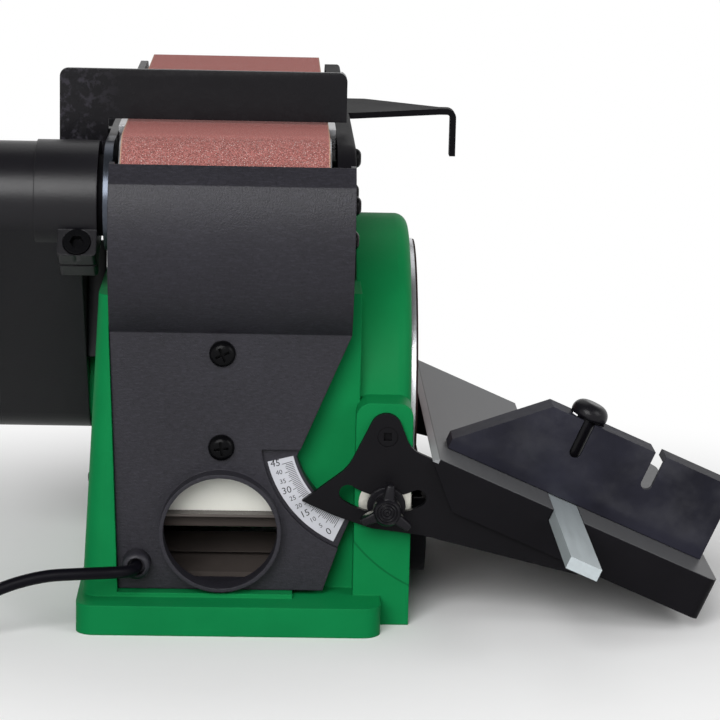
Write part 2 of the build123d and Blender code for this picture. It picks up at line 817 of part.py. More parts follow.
# Drive-belt case with the split clamp collar
clamp_axis = (0, -sin(radians(clamp_turn)), cos(radians(clamp_turn)))
clamp_plane = Plane(
    origin=(collar_from - clamp_width / 2, drum_y, drum_z), x_dir=(1, 0, 0), z_dir=clamp_axis
)
with BuildPart() as drive_case:
    extrude(drive_outline(case_from, case_r), amount=-case_depth)
    extrude(drive_outline(case_from - case_back, case_r - case_wall), amount=-case_depth, mode=Mode.SUBTRACT)
    rod_x(collar_r, collar_from - collar_len, collar_from, drum_y, drum_z)
    with BuildSketch(clamp_plane):
        with Locations((0, -(clamp_reach + sleeve_r) / 2)):
            RectangleRounded(clamp_width, clamp_reach - sleeve_r, 2)
    extrude(amount=clamp_half, both=True)
    rod_x(sleeve_r + shaft_fit, sleeve_end - 1, collar_from + 1, drum_y, drum_z, mode=Mode.SUBTRACT)
    with BuildSketch(clamp_plane):
        with Locations((0, -(clamp_reach + sleeve_r) / 2)):
            Rectangle(clamp_width + 1, clamp_reach - sleeve_r + 4)
    extrude(amount=clamp_slit / 2, both=True, mode=Mode.SUBTRACT)
    with BuildSketch(clamp_plane):
        with Locations((0, -clamp_screw_out)):
            Circle(clamp_screw_r + screw_fit)
    extrude(amount=clamp_half + 1, both=True, mode=Mode.SUBTRACT)
    with BuildSketch(clamp_plane.offset(clamp_half - 7)):
        with Locations((0, -clamp_screw_out)):
            Circle(6.5 + run_gap)
    extrude(amount=20, mode=Mode.SUBTRACT)
    rod_x(shaft_pass, case_from - case_back - 1, case_from + 1, 0, motor_z, mode=Mode.SUBTRACT)
    for y, z in case_bolt_spots:
        rod_x(case_screw_r + screw_fit, case_from - case_back - 1, case_from + 1, y, z, mode=Mode.SUBTRACT)
    with BuildSketch(drive_plane(case_from - case_depth)):
        with Locations(*case_screw_spots):
            Circle(case_screw_r + screw_fit)
    extrude(amount=case_screw_len - case_cover + 0.5, mode=Mode.SUBTRACT)
drive_case.part.label = "drive_case"
export_step(drive_case.part, "parts/drive_case.step")

with BuildPart() as clamp_screw:
    with BuildSketch(clamp_plane.offset(-clamp_half + 2)):
        with Locations((0, -clamp_screw_out)):
            Circle(clamp_screw_r)
    extrude(amount=2 * clamp_half - 9)
    with BuildSketch(clamp_plane.offset(clamp_half - 7)):
        with Locations((0, -clamp_screw_out)):
            Circle(6.5)
    extrude(amount=8)
    with BuildSketch(clamp_plane.offset(clamp_half + 1)):
        with Locations((0, -clamp_screw_out)):
            RegularPolygon(3.46, 6)
    extrude(amount=-4.5, mode=Mode.SUBTRACT)
clamp_screw.part.label = "clamp_screw"
export_step(clamp_screw.part, "parts/clamp_screw.step")

case_left = case_from - case_depth
with BuildPart() as drive_cover:
    extrude(drive_outline(case_left, case_r), amount=-case_cover)
    fillet(drive_cover.faces().sort_by(Axis.X)[0].edges(), 3)
    with BuildSketch(drive_plane(case_left + 1)):
        with Locations(*case_screw_spots):
            Circle(case_screw_r + screw_fit)
    extrude(amount=-case_cover - 2, mode=Mode.SUBTRACT)
drive_cover.part.label = "drive_cover"
export_step(drive_cover.part, "parts/drive_cover.step")

with BuildPart() as drive_screws:
    with BuildSketch(drive_plane(case_left - case_cover)):
        with Locations(*case_screw_spots):
            Circle(case_screw_r)
    extrude(amount=case_screw_len)
    with BuildSketch(drive_plane(case_left - case_cover)):
        with Locations(*case_screw_spots):
            Circle(case_screw_head_r)
    extrude(amount=-case_screw_head)
    for y, z in case_bolt_spots:
        seat = case_from - case_back
        rod_x(case_screw_r, seat, seat + case_screw_len, y, z)
        rod_x(case_screw_head_r, seat - case_screw_head, seat, y, z)
drive_screws.part.label = "drive_screws"
export_step(drive_screws.part, "parts/drive_screws.step")

vbelt_slope = (vbelt_width - vbelt_inner) / 2 / vbelt_height


def groove_half(radius):
    """Half width of a pulley's groove at a radius, clear of the belt's flanks."""
    return vbelt_inner / 2 + vbelt_slope * (radius - vbelt_r + vbelt_height) + run_gap


groove_floor = vbelt_r - vbelt_height - 2 * run_gap
pulleys = []
for pulley_y, pulley_z in ((0, motor_z), (drum_y, drum_z)):
    with BuildPart() as pulley:
        with BuildSketch(spin_plane(pulley_y, pulley_z)):
            Polygon(
                (pulley_x - pulley_width / 2, shaft_r),
                (pulley_x - pulley_width / 2, pulley_r),
                (pulley_x - groove_half(pulley_r), pulley_r),
                (pulley_x - groove_half(groove_floor), groove_floor),
                (pulley_x + groove_half(groove_floor), groove_floor),
                (pulley_x + groove_half(pulley_r), pulley_r),
                (pulley_x + pulley_width / 2, pulley_r),
                (pulley_x + pulley_width / 2, shaft_r),
            )
        revolve(axis=x_axis(pulley_y, pulley_z))
    pulleys.append(pulley)
motor_pulley, drum_pulley = pulleys
motor_pulley.part.label = "motor_pulley"
export_step(motor_pulley.part, "parts/motor_pulley.step")
drum_pulley.part.label = "drum_pulley"
export_step(drum_pulley.part, "parts/drum_pulley.step")

with BuildPart() as drive_belt:
    half, reach = drive_span / 2, vbelt_r - vbelt_height / 2
    with BuildLine(drive_plane(pulley_x)) as loop:
        Line((-half, reach), (half, reach))
        ThreePointArc((half, reach), (half + reach, 0), (half, -reach))
        Line((half, -reach), (-half, -reach))
        ThreePointArc((-half, -reach), (-half - reach, 0), (-half, reach))
    with BuildSketch(Plane(origin=loop.line @ 0, x_dir=(1, 0, 0), z_dir=loop.line % 0)):
        Polygon(
            (-vbelt_width / 2, -vbelt_height / 2),
            (vbelt_width / 2, -vbelt_height / 2),
            (vbelt_inner / 2, vbelt_height / 2),
            (-vbelt_inner / 2, vbelt_height / 2),
        )
    sweep()
drive_belt.part.label = "drive_belt"
export_step(drive_belt.part, "parts/drive_belt.step")

# Belt arm: sleeve, side plates, ties, platen
with BuildPart() as arm_sleeve:
    ring_x(drum_bearing_r + shaft_fit, sleeve_r, sleeve_end, arm_left_out, drum_y, drum_z)
arm_sleeve.part.label = "arm_sleeve"
export_step(arm_sleeve.part, "parts/arm_sleeve.step")

lug_from = stop_y + stop_thick
with BuildPart() as arm_left_plate:
    extrude(stadium(arm_left_out, arm_end_r), amount=arm_plate)
    rod_x(shaft_pass, arm_left_out - 1, -arm_half + 1, drum_y, drum_z, mode=Mode.SUBTRACT)
    for y, z in tie_spots:
        rod_x(arm_screw_r + screw_fit, arm_left_out - 1, -arm_half + 1, y, z, mode=Mode.SUBTRACT)
    rod_x(tracking_r + shaft_fit, arm_left_out - 1, -arm_half + 1, tracking_y, drum_z, mode=Mode.SUBTRACT)
    block(stop_left + 3, arm_left_out, lug_from, lug_from + lug_thick, stop_low + 3, drum_z + arm_end_r)
    lug_to = lug_from + lug_thick
    rod_y(stop_bolt_r + shaft_fit, stop_bolt_x, lug_from - 1, lug_to + 1, stop_bolt_z, Mode.SUBTRACT)
arm_left_plate.part.label = "arm_left_plate"
export_step(arm_left_plate.part, "parts/arm_left_plate.step")

notch_from, notch_to = lever_y - lever_near - 4, lever_y + lever_far + 18
with BuildPart() as arm_right_cover:
    extrude(stadium(arm_half, arm_end_r), amount=cover_depth)
    fillet(arm_right_cover.faces().sort_by(Axis.X)[-1].edges(), 2)
    extrude(stadium(arm_half, arm_end_r - cover_wall), amount=cover_depth - cover_wall, mode=Mode.SUBTRACT)
    rod_x(arm_end_r - cover_wall, arm_half, arm_right_web, drum_y, drum_z)
    rod_x(end_bearing_r + shaft_fit, arm_half - 1, arm_right_web, drum_y, drum_z, mode=Mode.SUBTRACT)
    block(arm_half - 1, arm_right_out + 1, notch_from, notch_to, lever_z - 0.6, belt_top, mode=Mode.SUBTRACT)
    for y, z in flange_spots + tie_spots:
        rod_x(arm_screw_r + screw_fit, arm_half - 1, arm_right_out + 1, y, z, mode=Mode.SUBTRACT)
arm_right_cover.part.label = "arm_right_cover"
export_step(arm_right_cover.part, "parts/arm_right_cover.step")

with BuildPart() as arm_ties:
    low, hole = drum_z - tie_height / 2, rod_side / 2 + shaft_fit
    for tie_y in (front_tie_y, guide_tie_y):
        block(-arm_half, arm_right_web, tie_y, tie_y + tie_thick, low, low + tie_height)
        block(-hole, hole, tie_y - 1, tie_y + tie_thick + 1, drum_z - hole, drum_z + hole, Mode.SUBTRACT)
    for y, z in tie_spots:
        inner = arm_screw_len - arm_plate + 1
        rod_x(arm_screw_r + screw_fit, -arm_half, -arm_half + inner, y, z, mode=Mode.SUBTRACT)
        inner = arm_screw_len - cover_wall + 1
        rod_x(arm_screw_r + screw_fit, arm_right_web - inner, arm_right_web, y, z, mode=Mode.SUBTRACT)
arm_ties.part.label = "arm_ties"
export_step(arm_ties.part, "parts/arm_ties.step")

with BuildPart() as arm_screws:
    for y, z in flange_spots:
        rod_x(arm_screw_r, arm_right_out - arm_screw_len + 5.5, arm_right_out, y, z)
        rod_x(button_r, arm_right_out, arm_right_out + button_height, y, z)
    for y, z in tie_spots:
        rod_x(arm_screw_r, arm_right_out - arm_screw_len, arm_right_out, y, z)
        rod_x(button_r, arm_right_out, arm_right_out + button_height, y, z)
        rod_x(arm_screw_r, arm_left_out, arm_left_out + arm_screw_len, y, z)
        rod_x(button_r, arm_left_out - button_height, arm_left_out, y, z)
    heads = arm_screws.faces().filter_by(Axis.X).group_by(Axis.X)
    fillet(heads[0].edges() + heads[-1].edges(), 1.8)
arm_screws.part.label = "arm_screws"
export_step(arm_screws.part, "parts/arm_screws.step")

platen_low = platen_top - platen_drop
with BuildPart() as platen:
    block(-arm_half, arm_half, platen_from, platen_to, platen_low, platen_top)
    inner = arm_half - platen_thick
    under = platen_top - platen_thick
    block(-inner, inner, platen_from - 1, platen_to + 1, platen_low - 1, under, Mode.SUBTRACT)
    block(inner - 1, arm_half + 1, notch_from, notch_to, platen_low - 1, under, Mode.SUBTRACT)
    # Riveted stud that carries the lever
    rod_z(lever_pin_r, lever_x, lever_y, lever_z - run_gap, platen_top - platen_thick)
    rod_z(lever_pin_r + 3, lever_x, lever_y, lever_z - run_gap - 3, lever_z - run_gap)
platen.part.label = "platen"
export_step(platen.part, "parts/platen.step")

with BuildPart() as sanding_belt:
    extrude(stadium(-belt_width / 2, belt_out_r), amount=belt_width)
    extrude(stadium(-belt_width / 2, belt_in_r), amount=belt_width, mode=Mode.SUBTRACT)
sanding_belt.part.label = "sanding_belt"
export_step(sanding_belt.part, "parts/sanding_belt.step")

# Drive drum on its shaft
with BuildPart() as drive_drum:
    half = drum_len / 2
    with BuildSketch(spin_plane(drum_y, drum_z)):
        Polygon((-half, drum_r - drum_wall), (-half, drum_r), (half, drum_r), (half, drum_r - drum_wall))
        for x in (-half + 8, half - 14):
            Polygon((x, shaft_r), (x, drum_r - 1), (x + 6, drum_r - 1), (x + 6, shaft_r))
        Polygon((-half + 8, shaft_r), (-half + 8, 13), (half - 8, 13), (half - 8, shaft_r))
    revolve(axis=x_axis(drum_y, drum_z))
drive_drum.part.label = "drive_drum"
export_step(drive_drum.part, "parts/drive_drum.step")

with BuildPart() as drum_shaft:
    rod_x(shaft_r - shaft_fit, pulley_x - pulley_width / 2 - 2, arm_right_web - 0.5, drum_y, drum_z)
    chamfer(drum_shaft.edges().filter_by(GeomType.CIRCLE), 1)
drum_shaft.part.label = "drum_shaft"
export_step(drum_shaft.part, "parts/drum_shaft.step")

with BuildPart() as drum_bearings:
    for x in (sleeve_end + 0.5, arm_left_out - drum_bearing_w):
        ring_x(shaft_r, drum_bearing_r, x, x + drum_bearing_w, drum_y, drum_z)
    ring_x(shaft_r, end_bearing_r, arm_right_web - end_bearing_w, arm_right_web, drum_y, drum_z)
drum_bearings.part.label = "drum_bearings"
export_step(drum_bearings.part, "parts/drum_bearings.step")

# Idler drum, axle, bearings and the sliding fork
with BuildPart() as idler_drum:
    half = idler_len / 2
    with BuildSketch(spin_plane(idler_y, drum_z)):
        with BuildLine():
            crown = ThreePointArc((-half, drum_r - idler_crown), (0, drum_r), (half, drum_r - idler_crown))
            Polyline(
                crown @ 1,
                (half, idler_bearing_r + shaft_fit),
                (half - idler_end, idler_bearing_r + shaft_fit),
                (half - idler_end, drum_r - idler_wall),
                (-half + idler_end, drum_r - idler_wall),
                (-half + idler_end, idler_bearing_r + shaft_fit),
                (-half, idler_bearing_r + shaft_fit),
                crown @ 0,
            )
        make_face()
    revolve(axis=x_axis(idler_y, drum_z))
idler_drum.part.label = "idler_drum"
export_step(idler_drum.part, "parts/idler_drum.step")

with BuildPart() as idler_axle:
    rod_x(axle_r - shaft_fit, -fork_in - fork_thick, fork_in + fork_thick, idler_y, drum_z)
idler_axle.part.label = "idler_axle"
export_step(idler_axle.part, "parts/idler_axle.step")

with BuildPart() as idler_bearings:
    for x in (-idler_len / 2 + 1, idler_len / 2 - 1 - idler_bearing_w):
        ring_x(axle_r, idler_bearing_r, x, x + idler_bearing_w, idler_y, drum_z)
idler_bearings.part.label = "idler_bearings"
export_step(idler_bearings.part, "parts/idler_bearings.step")

bar_back = idler_y - fork_back
bar_near = bar_back - fork_bar
with BuildPart() as idler_fork:
    for x in (-fork_in - fork_thick, fork_in):
        with BuildSketch(Plane.YZ.offset(x)):
            with Locations((idler_y, drum_z)):
                Circle(fork_height / 2)
            with Locations(((bar_near + idler_y) / 2, drum_z)):
                Rectangle(idler_y - bar_near, fork_height)
        extrude(amount=fork_thick)
    block(-fork_in, fork_in, bar_near, bar_back, drum_z - fork_height / 2, drum_z + fork_height / 2)
    side = rod_side / 2
    block(-side, side, rod_front, bar_near, drum_z - side, drum_z + side)
    rod_z(post_r, 0, lever_y, drum_z + side, lever_z + lever_thick)
    rod_x(axle_r, -arm_half, arm_half, idler_y, drum_z, mode=Mode.SUBTRACT)
idler_fork.part.label = "idler_fork"
export_step(idler_fork.part, "parts/idler_fork.step")

spring_from = guide_tie_y + tie_thick + run_gap + spring_wire
spring_to = bar_near - run_gap - spring_wire
spring_rise = (spring_to - spring_from) / (360 * spring_turns)


def spring_curve(turn):
    swing = radians(turn)
    return (spring_r * cos(swing), spring_from + spring_rise * turn, drum_z + spring_r * sin(swing))


spring_path = biarc_path(spring_curve, 0, 360 * spring_turns, 4 * spring_turns, 2 * spring_wire)
with BuildPart() as tension_spring:
    with BuildSketch(Plane(origin=spring_path @ 0, z_dir=spring_path % 0)):
        Circle(spring_wire)
    sweep(path=spring_path)
tension_spring.part.label = "tension_spring"
export_step(tension_spring.part, "parts/tension_spring.step")
print("spring least gap", round(least_gap(spring_curve, 0, 360 * spring_turns, spring_wire, 180), 2))

# Tension lever: flat cam lever with a bent finger tip
leg_in = lever_tip - lever_thick
tip_near, tip_far = lever_tip_y - lever_tip_half, lever_tip_y + lever_tip_half
with BuildPart() as tension_lever:
    with BuildSketch(Plane.XY.offset(lever_z)):
        Polygon(
            (-7, lever_y - 9.5),
            (22, lever_y - 11),
            (50, lever_y - lever_near),
            (66, lever_y - lever_near),
            (lever_tip - 9, tip_near),
            (lever_tip, tip_near),
            (lever_tip, tip_far),
            (lever_tip - 9, tip_far),
            (74, lever_y + lever_far),
            (50, lever_y + lever_far),
            (22, lever_y + 12),
            (-7, lever_y + 9.5),
        )
        with Locations((-6, lever_y)):
            Rectangle(22, 2 * (post_r + lever_slack), mode=Mode.SUBTRACT)
        with Locations((lever_x, lever_y)):
            Circle(lever_pin_r + shaft_fit, mode=Mode.SUBTRACT)
    extrude(amount=lever_thick)
    block(leg_in, lever_tip, tip_near, tip_far, lever_z + lever_thick - lever_leg, lever_z + lever_thick)
    bends = tension_lever.edges().filter_by(Axis.Y)
    inner_bend = [e for e in bends if abs(e.center().X - leg_in) < 0.1 and abs(e.center().Z - lever_z) < 0.1]
    fillet(inner_bend, 2)
    top = lever_z + lever_thick
    bends = tension_lever.edges().filter_by(Axis.Y)
    outer_bend = [e for e in bends if abs(e.center().X - lever_tip) < 0.1 and abs(e.center().Z - top) < 0.1]
    fillet(outer_bend, 5)
tension_lever.part.label = "tension_lever"
export_step(tension_lever.part, "parts/tension_lever.step")

with BuildPart() as tracking_knob:
    knob_in = arm_left_out - run_gap
    rod_x(tracking_r, knob_in, -fork_in - fork_thick - run_gap, tracking_y, drum_z)
    rod_x(tracking_knob_r, knob_in - tracking_knob_len, knob_in - 6, tracking_y, drum_z)
    rod_x(7, knob_in - 6, knob_in, tracking_y, drum_z)
    with BuildSketch(Plane.YZ.offset(knob_in - tracking_knob_len)):
        with Locations((tracking_y, drum_z)):
            with PolarLocations(tracking_knob_r + 2, 8):
                Circle(3.5)
    extrude(amount=tracking_knob_len - 5, mode=Mode.SUBTRACT)
tracking_knob.part.label = "tracking_knob"
export_step(tracking_knob.part, "parts/tracking_knob.step")

# Work stop across the belt
stop_plate_low = belt_top + stop_gap
with BuildPart() as work_stop:
    with BuildSketch(Plane.XZ.offset(-stop_y - stop_thick)):
        with BuildLine():
            Polyline(
                (stop_left, stop_low),
                (tab_right, stop_low),
                (tab_right, stop_plate_low),
                (stop_right, stop_plate_low),
                (stop_right, stop_top),
                (stop_left, stop_top),
                close=True,
            )
        outline = make_face()
        tab_corners = outline.vertices().filter_by(lambda v: v.X < tab_right + 1)
        fillet(tab_corners.filter_by(lambda v: abs(v.Z - stop_plate_low) > 1), 4)
        with Locations((stop_bolt_x, stop_bolt_z - 4)):
            SlotOverall(18, 2 * (stop_bolt_r + run_gap), rotation=90, mode=Mode.SUBTRACT)
    extrude(amount=stop_thick)
    block(stop_right - stop_thick, stop_right, stop_y, stop_y + stop_return, stop_plate_low, stop_top)
    bend = work_stop.edges().filter_by(Axis.Z).filter_by(
        lambda e: abs(e.center().X - stop_right) < 0.1 and abs(e.center().Y - stop_y) < 0.1
    )
    fillet(bend, 2.5)
    back = work_stop.faces().sort_by(Axis.Y)[-1].edges().filter_by(Axis.X)
    fillet(back.sort_by(Axis.Z)[-1:], 5)
work_stop.part.label = "work_stop"
export_step(work_stop.part, "parts/work_stop.step")

with BuildPart() as stop_bolt:
    rod_y(stop_bolt_r, stop_bolt_x, stop_y - run_gap, lug_from + lug_thick, stop_bolt_z)
    rod_y(7, stop_bolt_x, stop_y - run_gap - 1.6, stop_y - run_gap, stop_bolt_z)
    with BuildSketch(Plane.XZ.offset(-stop_y + run_gap + 1.6)):
        with Locations((stop_bolt_x, stop_bolt_z)):
            RegularPolygon(5.77, 6)
    extrude(amount=4)
stop_bolt.part.label = "stop_bolt"
export_step(stop_bolt.part, "parts/stop_bolt.step")

# Table, tilted at rest
tilt = radians(rest_tilt)
along = (cos(tilt), 0, -sin(tilt))
upward = (sin(tilt), 0, cos(tilt))
pivot = Vector(pivot_x, 0, pivot_z)
corner = pivot + Vector(*along) * table_edge + Vector(*upward) * table_top
table_plane = Plane(origin=corner, x_dir=along, z_dir=upward)


def side_plane(y, origin):
    """Plane facing -Y at a depth y: local x runs out along the table, local y is its normal."""
    return Plane(origin=(origin.X, y, origin.Z), x_dir=along, z_dir=(0, -1, 0))


bracket_out = table_half - apron_wall
bracket_screw_us = (table_edge + 36, table_edge + 92)
bracket_screw_w = table_top - 14
bracket_spots = [(u, bracket_screw_w) for u in bracket_screw_us]
pointer_tip = (-pointer_r * cos(radians(scale_zero)), -pointer_r * sin(radians(scale_zero)))
slot_half = bar_width / 2 + run_gap
slot_deep = bar_thick + 2 * run_gap
with BuildPart() as table:
    with BuildSketch(side_plane(-table_half, corner)):
        Polygon(
            (edge_bevel_wide, 0),
            (0, -edge_bevel),
            (apron - edge_bevel, -apron),
            (table_len, -apron),
            (table_len, 0),
        )
    extrude(amount=-2 * table_half)
    ends = [e for e in table.edges() if abs((e.center() - corner).dot(Vector(*along)) - table_len) < 0.1]
    fillet([e for e in ends if abs(e.center().Y) > table_half - 0.1], 5)
    with BuildSketch(side_plane(-table_half + apron_wall, corner)):
        Polygon(
            (-5, -table_thick),
            (-5, -apron - 1),
            (table_len - apron_wall, -apron - 1),
            (table_len - apron_wall, -table_thick),
        )
        Polygon(
            (bar_u - slot_half - 5, -table_thick),
            (bar_u + slot_half + 5, -table_thick),
            (bar_u + slot_half + 4, -slot_deep - 4),
            (bar_u - slot_half - 4, -slot_deep - 4),
            mode=Mode.SUBTRACT,
        )
    extrude(amount=-2 * (table_half - apron_wall), mode=Mode.SUBTRACT)
    with BuildSketch(side_plane(-table_half - 1, corner)):
        with Locations((bar_u, -slot_deep / 2)):
            Rectangle(2 * slot_half, slot_deep)
    extrude(amount=-2 * table_half - 2, mode=Mode.SUBTRACT)
    for side in (-1, 1):
        with BuildSketch(side_plane(side * bracket_out, pivot)):
            with Locations(*bracket_spots):
                Circle(pan_screw_r + screw_fit)
        extrude(amount=-side * 2.6, mode=Mode.SUBTRACT)
table.part.label = "table"
export_step(table.part, "parts/table.step")

brackets = []
for side in (-1, 1):
    with BuildPart() as bracket:
        with BuildSketch(side_plane(side * (bracket_out - bracket_thick / 2), pivot)):
            with BuildLine():
                Polyline(
                    (-lobe_r * 0.8, lobe_r * 0.6),
                    pointer_tip,
                    (-7.1, -47),
                    (11.8, -45.4),
                    (36.4, -38.3),
                    (118, -24.5),
                    (124, -17),
                    (124, table_top - table_thick - run_gap - 5),
                    (table_edge + 8, table_top - table_thick - run_gap - 5),
                    (lobe_r * 0.8, lobe_r * 0.6),
                    close=True,
                )
            make_face()
            Circle(lobe_r)
            Circle(pivot_r + shaft_fit, mode=Mode.SUBTRACT)
            with BuildLine(mode=Mode.PRIVATE) as slot_line:
                CenterArc((0, 0), stud_ring, -90 - 10, 60)
            SlotArc(slot_line.line.edge(), 2 * (stud_r + run_gap), mode=Mode.SUBTRACT)
            with Locations(*bracket_spots):
                Circle(pan_screw_r + screw_fit, mode=Mode.SUBTRACT)
        extrude(amount=bracket_thick / 2, both=True)
    brackets.append(bracket)
table_bracket_front, table_bracket_rear = brackets
table_bracket_front.part.label = "table_bracket_front"
export_step(table_bracket_front.part, "parts/table_bracket_front.step")
table_bracket_rear.part.label = "table_bracket_rear"
export_step(table_bracket_rear.part, "parts/table_bracket_rear.step")

with BuildPart() as bracket_screws:
    for side in (-1, 1):
        inside = side * (bracket_out - bracket_thick)
        with BuildSketch(side_plane(inside, pivot)):
            with Locations(*bracket_spots):
                Circle(pan_screw_r)
        extrude(amount=-side * (bracket_thick + 2.4))
        with BuildSketch(side_plane(inside, pivot)):
            with Locations(*bracket_spots):
                Circle(4)
        extrude(amount=side * 2.4)
bracket_screws.part.label = "bracket_screws"
export_step(bracket_screws.part, "parts/bracket_screws.step")

with BuildPart() as trunnion_pins:
    for side in (-1, 1):
        pad_y = side * (bracket_out - bracket_thick - run_gap)
        rod_y(pivot_r, pivot_x, pad_y - side * 12, side * (bracket_out - 0.6), pivot_z)
        rod_y(stud_r, pivot_x, pad_y - side * 12, side * (bracket_out + 13), pivot_z - stud_ring)
trunnion_pins.part.label = "trunnion_pins"
export_step(trunnion_pins.part, "parts/trunnion_pins.step")

knobs = []
for side in (-1, 1):
    with BuildPart() as knob:
        near = bracket_out + run_gap
        rod_y(9.5, pivot_x, side * near, side * (near + 1.6), pivot_z - stud_ring)
        rod_y(7, pivot_x, side * (near + 1.6), side * (near + 6), pivot_z - stud_ring)
        with BuildSketch(Plane.XZ.offset(-side * (near + 6))):
            with Locations((pivot_x, pivot_z - stud_ring)):
                Circle(knob_r * 0.5)
                with PolarLocations(knob_r * 0.7, 3, start_angle=84):
                    Circle(knob_r * 0.3)
        extrude(amount=-side * 9)
        rod_y(4.5, pivot_x, side * (near + 15), side * (near + 16), pivot_z - stud_ring)
        stud_z = pivot_z - stud_ring
        rod_y(stud_r + shaft_fit, pivot_x, side * (near - 1), side * (near + 13.2), stud_z, Mode.SUBTRACT)
    knobs.append(knob)
table_knob_front, table_knob_rear = knobs
table_knob_front.part.label = "table_knob_front"
export_step(table_knob_front.part, "parts/table_knob_front.step")
table_knob_rear.part.label = "table_knob_rear"
export_step(table_knob_rear.part, "parts/table_knob_rear.step")

# Mitre gauge in the table's slot
head_front = -table_half + head_behind
stud_y = head_front + head_deep - 7
stud_u = bar_u - mitre_stud_side
bar_low = -run_gap - bar_thick
with BuildPart(table_plane) as mitre_bar:
    with Locations((bar_u, -table_half - bar_front + bar_len / 2, bar_low + bar_thick / 2)):
        Box(bar_width, bar_len, bar_thick)
    with Locations((stud_u, stud_y, (head_height + 2) / 2 - run_gap / 2)):
        Cylinder(mitre_stud_r, head_height + 2 + run_gap)
mitre_bar.part.label = "mitre_bar"
export_step(mitre_bar.part, "parts/mitre_bar.step")

head_low = run_gap
with BuildPart() as mitre_head:
    head_origin = corner + Vector(*upward) * head_low
    with BuildSketch(side_plane(head_front, head_origin)):
        Polygon(
            (head_from, 0),
            (head_to, 0),
            (head_to, head_height),
            (head_from + head_slope, head_height),
            (head_from, head_tip),
        )
    extrude(amount=-head_deep)
    with BuildSketch(side_plane(head_front + head_wall, head_origin)):
        Polygon(
            (head_from + 9, 6),
            (head_to - head_wall, 6),
            (head_to - head_wall, head_height - head_wall),
            (head_from + head_slope + 1, head_height - head_wall),
        )
    extrude(amount=-head_deep, mode=Mode.SUBTRACT)
    with BuildSketch(side_plane(head_front - 1, head_origin)):
        with Locations((stud_u, head_height), (stud_u + head_slot_step, head_height)):
            SlotOverall(2 * head_slot_deep, head_slot, rotation=90)
    extrude(amount=-head_deep - 2, mode=Mode.SUBTRACT)
    # Protractor foot, and the room round the locking stud
    foot_plane = Plane(origin=head_origin, x_dir=along, z_dir=upward)
    with BuildSketch(foot_plane):
        with Locations((stud_u, stud_y)):
            Circle(protractor_r)
        with Locations((stud_u, head_front - 50)):
            Rectangle(200, 100, mode=Mode.SUBTRACT)
    extrude(amount=6)
    with BuildSketch(foot_plane.offset(6)):
        with Locations((stud_u, stud_y)):
            Circle(mitre_knob_r)
    extrude(amount=head_height, mode=Mode.SUBTRACT)
    with BuildSketch(foot_plane):
        with Locations((stud_u, stud_y)):
            Circle(mitre_stud_r + shaft_fit)
    extrude(amount=7, mode=Mode.SUBTRACT)
mitre_head.part.label = "mitre_head"
export_step(mitre_head.part, "parts/mitre_head.step")

with BuildPart(table_plane) as mitre_knob:
    with Locations((stud_u, stud_y, head_height + 4.6)):
        Cylinder(mitre_knob_r, 8)
    rims = mitre_knob.edges().sort_by(lambda e: e.center().dot(Vector(*upward)))
    fillet(rims[-1:], 5.5)
    fillet(mitre_knob.edges().sort_by(lambda e: e.center().dot(Vector(*upward)))[:1], 1.8)
    with Locations((stud_u, stud_y, head_height - 14)):
        Cylinder(5, 32)
    with Locations((stud_u, stud_y, head_height / 2 - 5)):
        Cylinder(mitre_stud_r + shaft_fit, head_height + 14 + 2 * run_gap, mode=Mode.SUBTRACT)
mitre_knob.part.label = "mitre_knob"
export_step(mitre_knob.part, "parts/mitre_knob.step")

# Rocker switch
with BuildPart() as switch_body:
    with BuildSketch(Plane.YZ.offset(switch_x)):
        with Locations((switch_y, switch_z)):
            RectangleRounded(2 * bezel_half_y, 2 * bezel_half_z, 2)
    extrude(amount=-bezel_thick)
    block(
        switch_x,
        switch_x + switch_deep,
        switch_y - bezel_half_y + 2,
        switch_y + bezel_half_y - 2,
        switch_z - bezel_half_z + 2,
        switch_z + bezel_half_z - 2,
    )
    block(
        switch_x - bezel_thick - 1,
        switch_x + 10,
        switch_y - rocker_half_y - run_gap,
        switch_y + rocker_half_y + run_gap,
        switch_z - rocker_half_z - 1,
        switch_z + rocker_half_z + 1,
        mode=Mode.SUBTRACT,
    )
switch_body.part.label = "switch_body"
export_step(switch_body.part, "parts/switch_body.step")

rocker_x = switch_x + 2
with BuildPart() as switch_rocker:
    with BuildSketch(Plane.XZ.offset(-switch_y + rocker_half_y)):
        Polygon(
            (rocker_x + 3, switch_z + 4),
            (rocker_x - 1, switch_z + rocker_half_z),
            (rocker_x - 7.5, switch_z + rocker_half_z - 1.7),
            (rocker_x - 4, switch_z),
            (rocker_x - 4.2, switch_z - rocker_half_z),
            (rocker_x + 1.5, switch_z - rocker_half_z),
            (rocker_x + 3, switch_z - 4),
        )
    extrude(amount=-2 * rocker_half_y)
    rod_y(3.5, rocker_x + 2, switch_y - rocker_half_y, switch_y + rocker_half_y, switch_z)
switch_rocker.part.label = "switch_rocker"
export_step(switch_rocker.part, "parts/switch_rocker.step")

# Power cord: domed boss, free run, coil with its tie, plug
boss_front = panel_y - boss_len
with BuildPart() as cord_grommet:
    rod_y(boss_round, cord_x, boss_front, panel_y, cord_z)
    fillet(cord_grommet.faces().sort_by(Axis.Y)[0].edges(), 3.2)
    rod_y(6.0 - screw_fit, cord_x, panel_y, panel_y + panel_thick, cord_z)
    rod_y(6.7, cord_x, panel_y + panel_thick, panel_y + panel_thick + 2, cord_z)
    rod_y(4.4, cord_x, boss_front - 1, boss_front + 4, cord_z, mode=Mode.SUBTRACT)
cord_grommet.part.label = "cord_grommet"
export_step(cord_grommet.part, "parts/cord_grommet.step")

coil_turn = 360.0 * coil_turns_in
coil_out = 2 * coil_turn
coil_end = coil_out + 90.0


